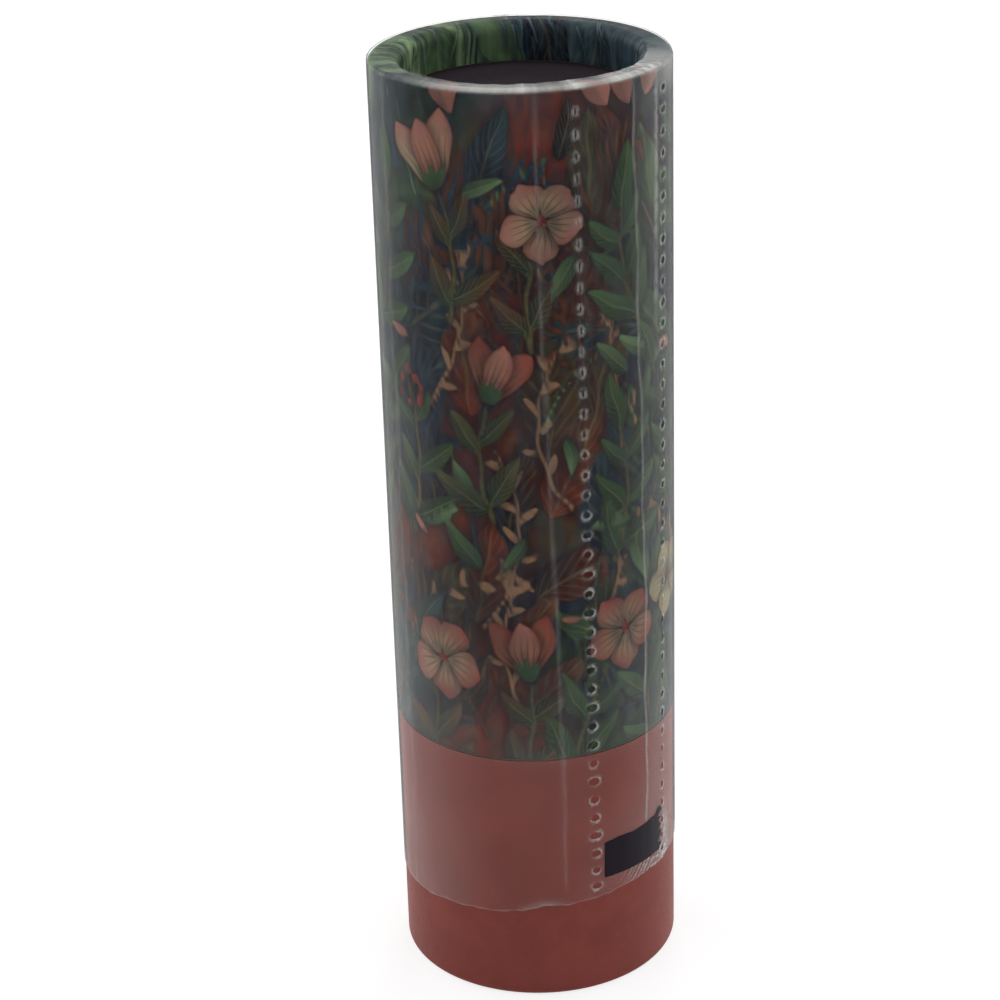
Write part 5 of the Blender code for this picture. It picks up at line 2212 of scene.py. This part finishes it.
    def spread(self, part: Part, column: Field, height: Field) -> Field:
        """Angle of each point of a sheet, its columns close together beside the holes.

        Args:
            part: The sheet.
            column: Each point's column.
            height: Each point's height.

        Returns:
            The angles.
        """
        at_left, at_right = part is not Part.SLEEVE, part is not Part.OVERLAP
        first_row = self.right if part is Part.OVERLAP else self.left
        last_row = self.left if part is Part.SLEEVE else self.right
        start = self.line(first_row.side, height) if at_left else self.lap_angles[0]
        end = self.line(last_row.side, height) if at_right else self.lap_angles[1]
        width = np.radians(end - start) * self.radius
        edge, total = np.array(self.edge_columns), FILM_COLUMNS[part]
        first = len(edge) - 1 if at_left else 0
        last = len(edge) - 1 if at_right else 0
        share = (column - first) / (total - first - last)
        if part is Part.SLEEVE:
            share = 1.0 - np.clip(1.0 - share, 0.0, 1.0) ** self.crowding
        plain = edge[first] + (width - edge[first] - edge[last]) * share
        plain = np.where(column < first, edge[np.clip(column, 0, len(edge) - 1)], plain)
        close = edge[np.clip(total - column, 0, len(edge) - 1)]
        plain = np.where(total - column < last, width - close, plain)
        if at_left:
            near = 1.0 - smooth_step(plain, 0.0, edge[-1])
            plain = plain + (self.notch(first_row, height) + 0.5 * self.slit) * near
        if at_right:
            near = 1.0 - smooth_step(width - plain, 0.0, edge[-1])
            plain = plain - (self.notch(last_row, height) + 0.5 * self.slit) * near
        return start + np.degrees(plain / self.radius)

    def mark_place(self, angle: Field, height: Field) -> Field:
        """Place of each point on the black mark, across and up from its middle, 1 at its edges.

        Args:
            angle: Degrees from the viewer's side.
            height: Heights on the grid, in metres.

        Returns:
            Three columns: across, up and 1.
        """
        across = (angle - np.mean(self.mark_angles)) / (0.5 * np.ptp(self.mark_angles))
        up = (self.level(angle, height) - np.mean(self.mark_heights)) / (0.5 * np.ptp(self.mark_heights))
        return np.stack([across, up, np.ones(len(angle))], axis=1)

    def whitening_and_highlight(self, angle: Field, height: Field, rings: Field, teeth: Field) -> Field:
        """How white each point is painted, smooth and torn, as a row of three: partly the film's own whitening
        at creases, crumples, torn rims and its lower edge, partly painted highlight there.

        Args:
            angle: Degrees from the viewer's side.
            height: Heights on the grid, in metres.
            rings: White of the torn rims, partly whitening and partly painted highlight.
            teeth: Crumpling under the mark.

        Returns:
            Three columns: smooth, torn and 0.
        """
        # A thin white line along the lower edge, stronger near the front: partly the rolled edge's whiteness,
        # partly painted highlight.
        edge = 0.12 * bump_at(height, self.bottom, 0.0001) * (0.6 + 0.4 * np.sin(angle * 0.7))
        edge += 0.10 * bump_at(height, self.bottom, 0.0005) * bump_at(angle, 1.0, 8.0)
        creased, crumpled = self.smooth_shares
        smooth = creased * self.creases(angle, height) + crumpled * self.crumple(angle, height) + edge
        torn = self.torn_shares[0] * rings + self.torn_shares[1] * teeth
        return np.clip(np.stack([smooth, torn, 0.0 * angle], axis=1), 0.0, self.whitest)

    def build_sheet(self, part: Part) -> bpy.types.Object:
        """Builds one sheet of the film from a grid and gives it its wall.

        Args:
            part: Which sheet of the film.

        Returns:
            The finished piece.
        """
        columns, rows = FILM_COLUMNS[part], len(self.rows) - 1
        deselect_all()
        bpy.ops.mesh.primitive_grid_add(x_subdivisions=columns, y_subdivisions=rows, size=1.0)
        sheet = bpy.context.active_object
        sheet.name = sheet.data.name = part.value
        places = coordinates(sheet)
        column = np.round((places[:, 0] + 0.5) * columns).astype(int)
        height = self.rows[np.round((places[:, 1] + 0.5) * rows).astype(int)]
        angle = self.spread(part, column, height)
        rings = np.maximum(self.ring(self.left, angle, height), self.ring(self.right, angle, height))
        folds = np.maximum(self.creases(angle, height), self.crumple(angle, height))
        teeth = self.teeth(angle, height)
        shape = self.shape(angle, height, np.clip(rings + folds + teeth, 0.0, 1.0))
        if part is Part.SLEEVE:
            under = self.thickness * smooth_step(-angle, *self.under_angles)
            shape[:, :2] *= (1.0 - under / self.radius)[:, None]
        place_vertices(sheet, shape)
        write_attribute(sheet, "whitening_and_highlight", self.whitening_and_highlight(angle, height, rings, teeth))
        marked = self.mark_place(angle, height) if part is Part.STRIP else np.zeros((len(height), 3))
        write_attribute(sheet, "mark", marked)
        activate(sheet)
        wall = sheet.modifiers.new("wall", "SOLIDIFY")
        wall.thickness = self.thickness
        wall.offset = -1.0
        bpy.ops.object.modifier_apply(modifier=wall.name)
        bpy.ops.object.shade_smooth_by_angle(angle=FILM_SMOOTH_ANGLE)
        return sheet

    def build(self) -> None:
        """Builds and dresses the film and its strip."""
        finish = FilmFinish("clear_film").material()
        for part, body, node in (
            (Part.SLEEVE, Body.FILM, "film_sleeve"),
            (Part.OVERLAP, Body.FILM, "film_sleeve"),
            (Part.STRIP, Body.STRIP, "tear_strip"),
        ):
            dress(self.build_sheet(part), body, finish, [node])


@dataclass
class Studio:
    """The pale floor, the soft light and the camera."""

    lens: float = 97.39
    sensor: float = 36.0
    clip: Tuple[float, float] = (0.01, 20.0)
    elevation: float = 24.25
    distance: float = 0.2155
    aim_height: float = 0.03777
    tilt: float = 0.34
    pan: float = 0.65
    roll: float = -1.45
    floor_size: float = 6.0
    floor_grey: float = 0.60
    floor_glow: float = 0.72
    floor_matt: float = 0.42
    middle_light: float = 0.20
    side_light: float = 1.15
    lamp_aim: Tuple[float, float, float] = (0.0, 0.0, 0.04)
    lamps: Sequence[Tuple[str, Tuple[float, float, float], float, float]] = (
        ("left_lamp", (-0.50, 0.38, 0.25), 0.44, 0.9),
        ("right_lamp", (0.52, 0.40, 0.22), 0.44, 0.9),
        ("top_lamp", (0.03, 0.22, 0.60), 0.12, 0.5),
    )

    def build_camera(self) -> None:
        """Adds the camera at the photograph's place."""
        deselect_all()
        rise = math.radians(self.elevation)
        place = Vector((0.0, -self.distance * math.cos(rise), self.distance * math.sin(rise) + self.aim_height))
        look = Matrix.Identity(4)
        for turn, axis in ((90.0 - self.elevation + self.tilt, "X"), (self.pan, "Y"), (self.roll, "Z")):
            look = look @ Matrix.Rotation(math.radians(turn), 4, axis)
        bpy.ops.object.camera_add(location=place, rotation=look.to_euler())
        camera = bpy.context.active_object
        camera.name = "camera"
        camera.data.lens = self.lens
        camera.data.sensor_width = self.sensor
        camera.data.clip_start, camera.data.clip_end = self.clip
        bpy.context.scene.camera = camera

    def build_floor(self) -> None:
        """Adds the floor: white where it is seen or mirrored, with the object's shadow kept."""
        deselect_all()
        bpy.ops.mesh.primitive_plane_add(size=self.floor_size, location=(0.0, 0.0, 0.0))
        floor = bpy.context.active_object
        floor.name = "floor"
        sheet = NodeSheet(bpy.data.materials.new("floor_white"))
        sheet.set_shader(Base_Color=scaled(WHITE, self.floor_grey), Roughness=0.9, Specular_IOR_Level=0.1)
        glow = sheet.wire("Emission", {"Color": WHITE, "Strength": self.floor_glow})
        matt = sheet.wire("BsdfDiffuse", {"Color": scaled(WHITE, self.floor_matt)})
        seen = sheet.wire("AddShader", {0: glow, 1: matt})
        sheet.finish(self.shown(sheet), sheet.principled(), seen)
        floor.data.materials.append(sheet.owner)

    def shown(self, sheet: NodeSheet) -> Wire:
        """Is 1 for rays that show the background, straight or in a mirror."""
        camera, mirrored, passed = (
            sheet.wire("LightPath", {}, "Is %s Ray" % kind) for kind in ("Camera", "Glossy", "Transmission")
        )
        return sheet.maths("MAXIMUM", camera, sheet.maths("MAXIMUM", mirrored, passed))

    def build_world(self) -> None:
        """Sets the soft light, stronger from both sides, behind a background that shows white."""
        sheet = NodeSheet(bpy.data.worlds.new("studio"))
        aside = abs(sheet.split(sheet.wire("TexCoord", {}, "Generated"))[0])
        soft = aside * self.side_light + self.middle_light
        back = sheet.tree.nodes["Background"]
        sheet.put(back.inputs["Strength"], sheet.wire("Mix", {0: self.shown(sheet), 2: soft, 3: 1.0}))
        sheet.put(back.inputs["Color"], WHITE)
        bpy.context.scene.world = sheet.owner

    def build_lamps(self) -> None:
        """Adds a soft lamp behind each side and a smaller one above."""
        for name, place, size, power in self.lamps:
            deselect_all()
            turn = (Vector(self.lamp_aim) - Vector(place)).to_track_quat("-Z", "Y").to_euler()
            bpy.ops.object.light_add(type="AREA", location=place, rotation=turn)
            lamp = bpy.context.active_object
            lamp.name = name
            lamp.data.shape = "DISK"
            lamp.data.size = size
            lamp.data.energy = power

    def build(self) -> None:
        """Builds the studio."""
        bpy.context.scene.view_settings.view_transform = "Standard"
        self.build_camera()
        self.build_floor()
        self.build_world()
        self.build_lamps()
        LOG.info("studio ready")


def write_sizes() -> None:
    """Updates the view layer."""
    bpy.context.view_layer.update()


def main() -> None:
    """Builds the studio and dresses the object, sub-assembly by sub-assembly."""
    Studio().build()
    Base().build()
    Mechanism().build()
    Cap().build()
    Film().build()
    deselect_all()
    write_sizes()


if __name__ == "__main__":
    main()
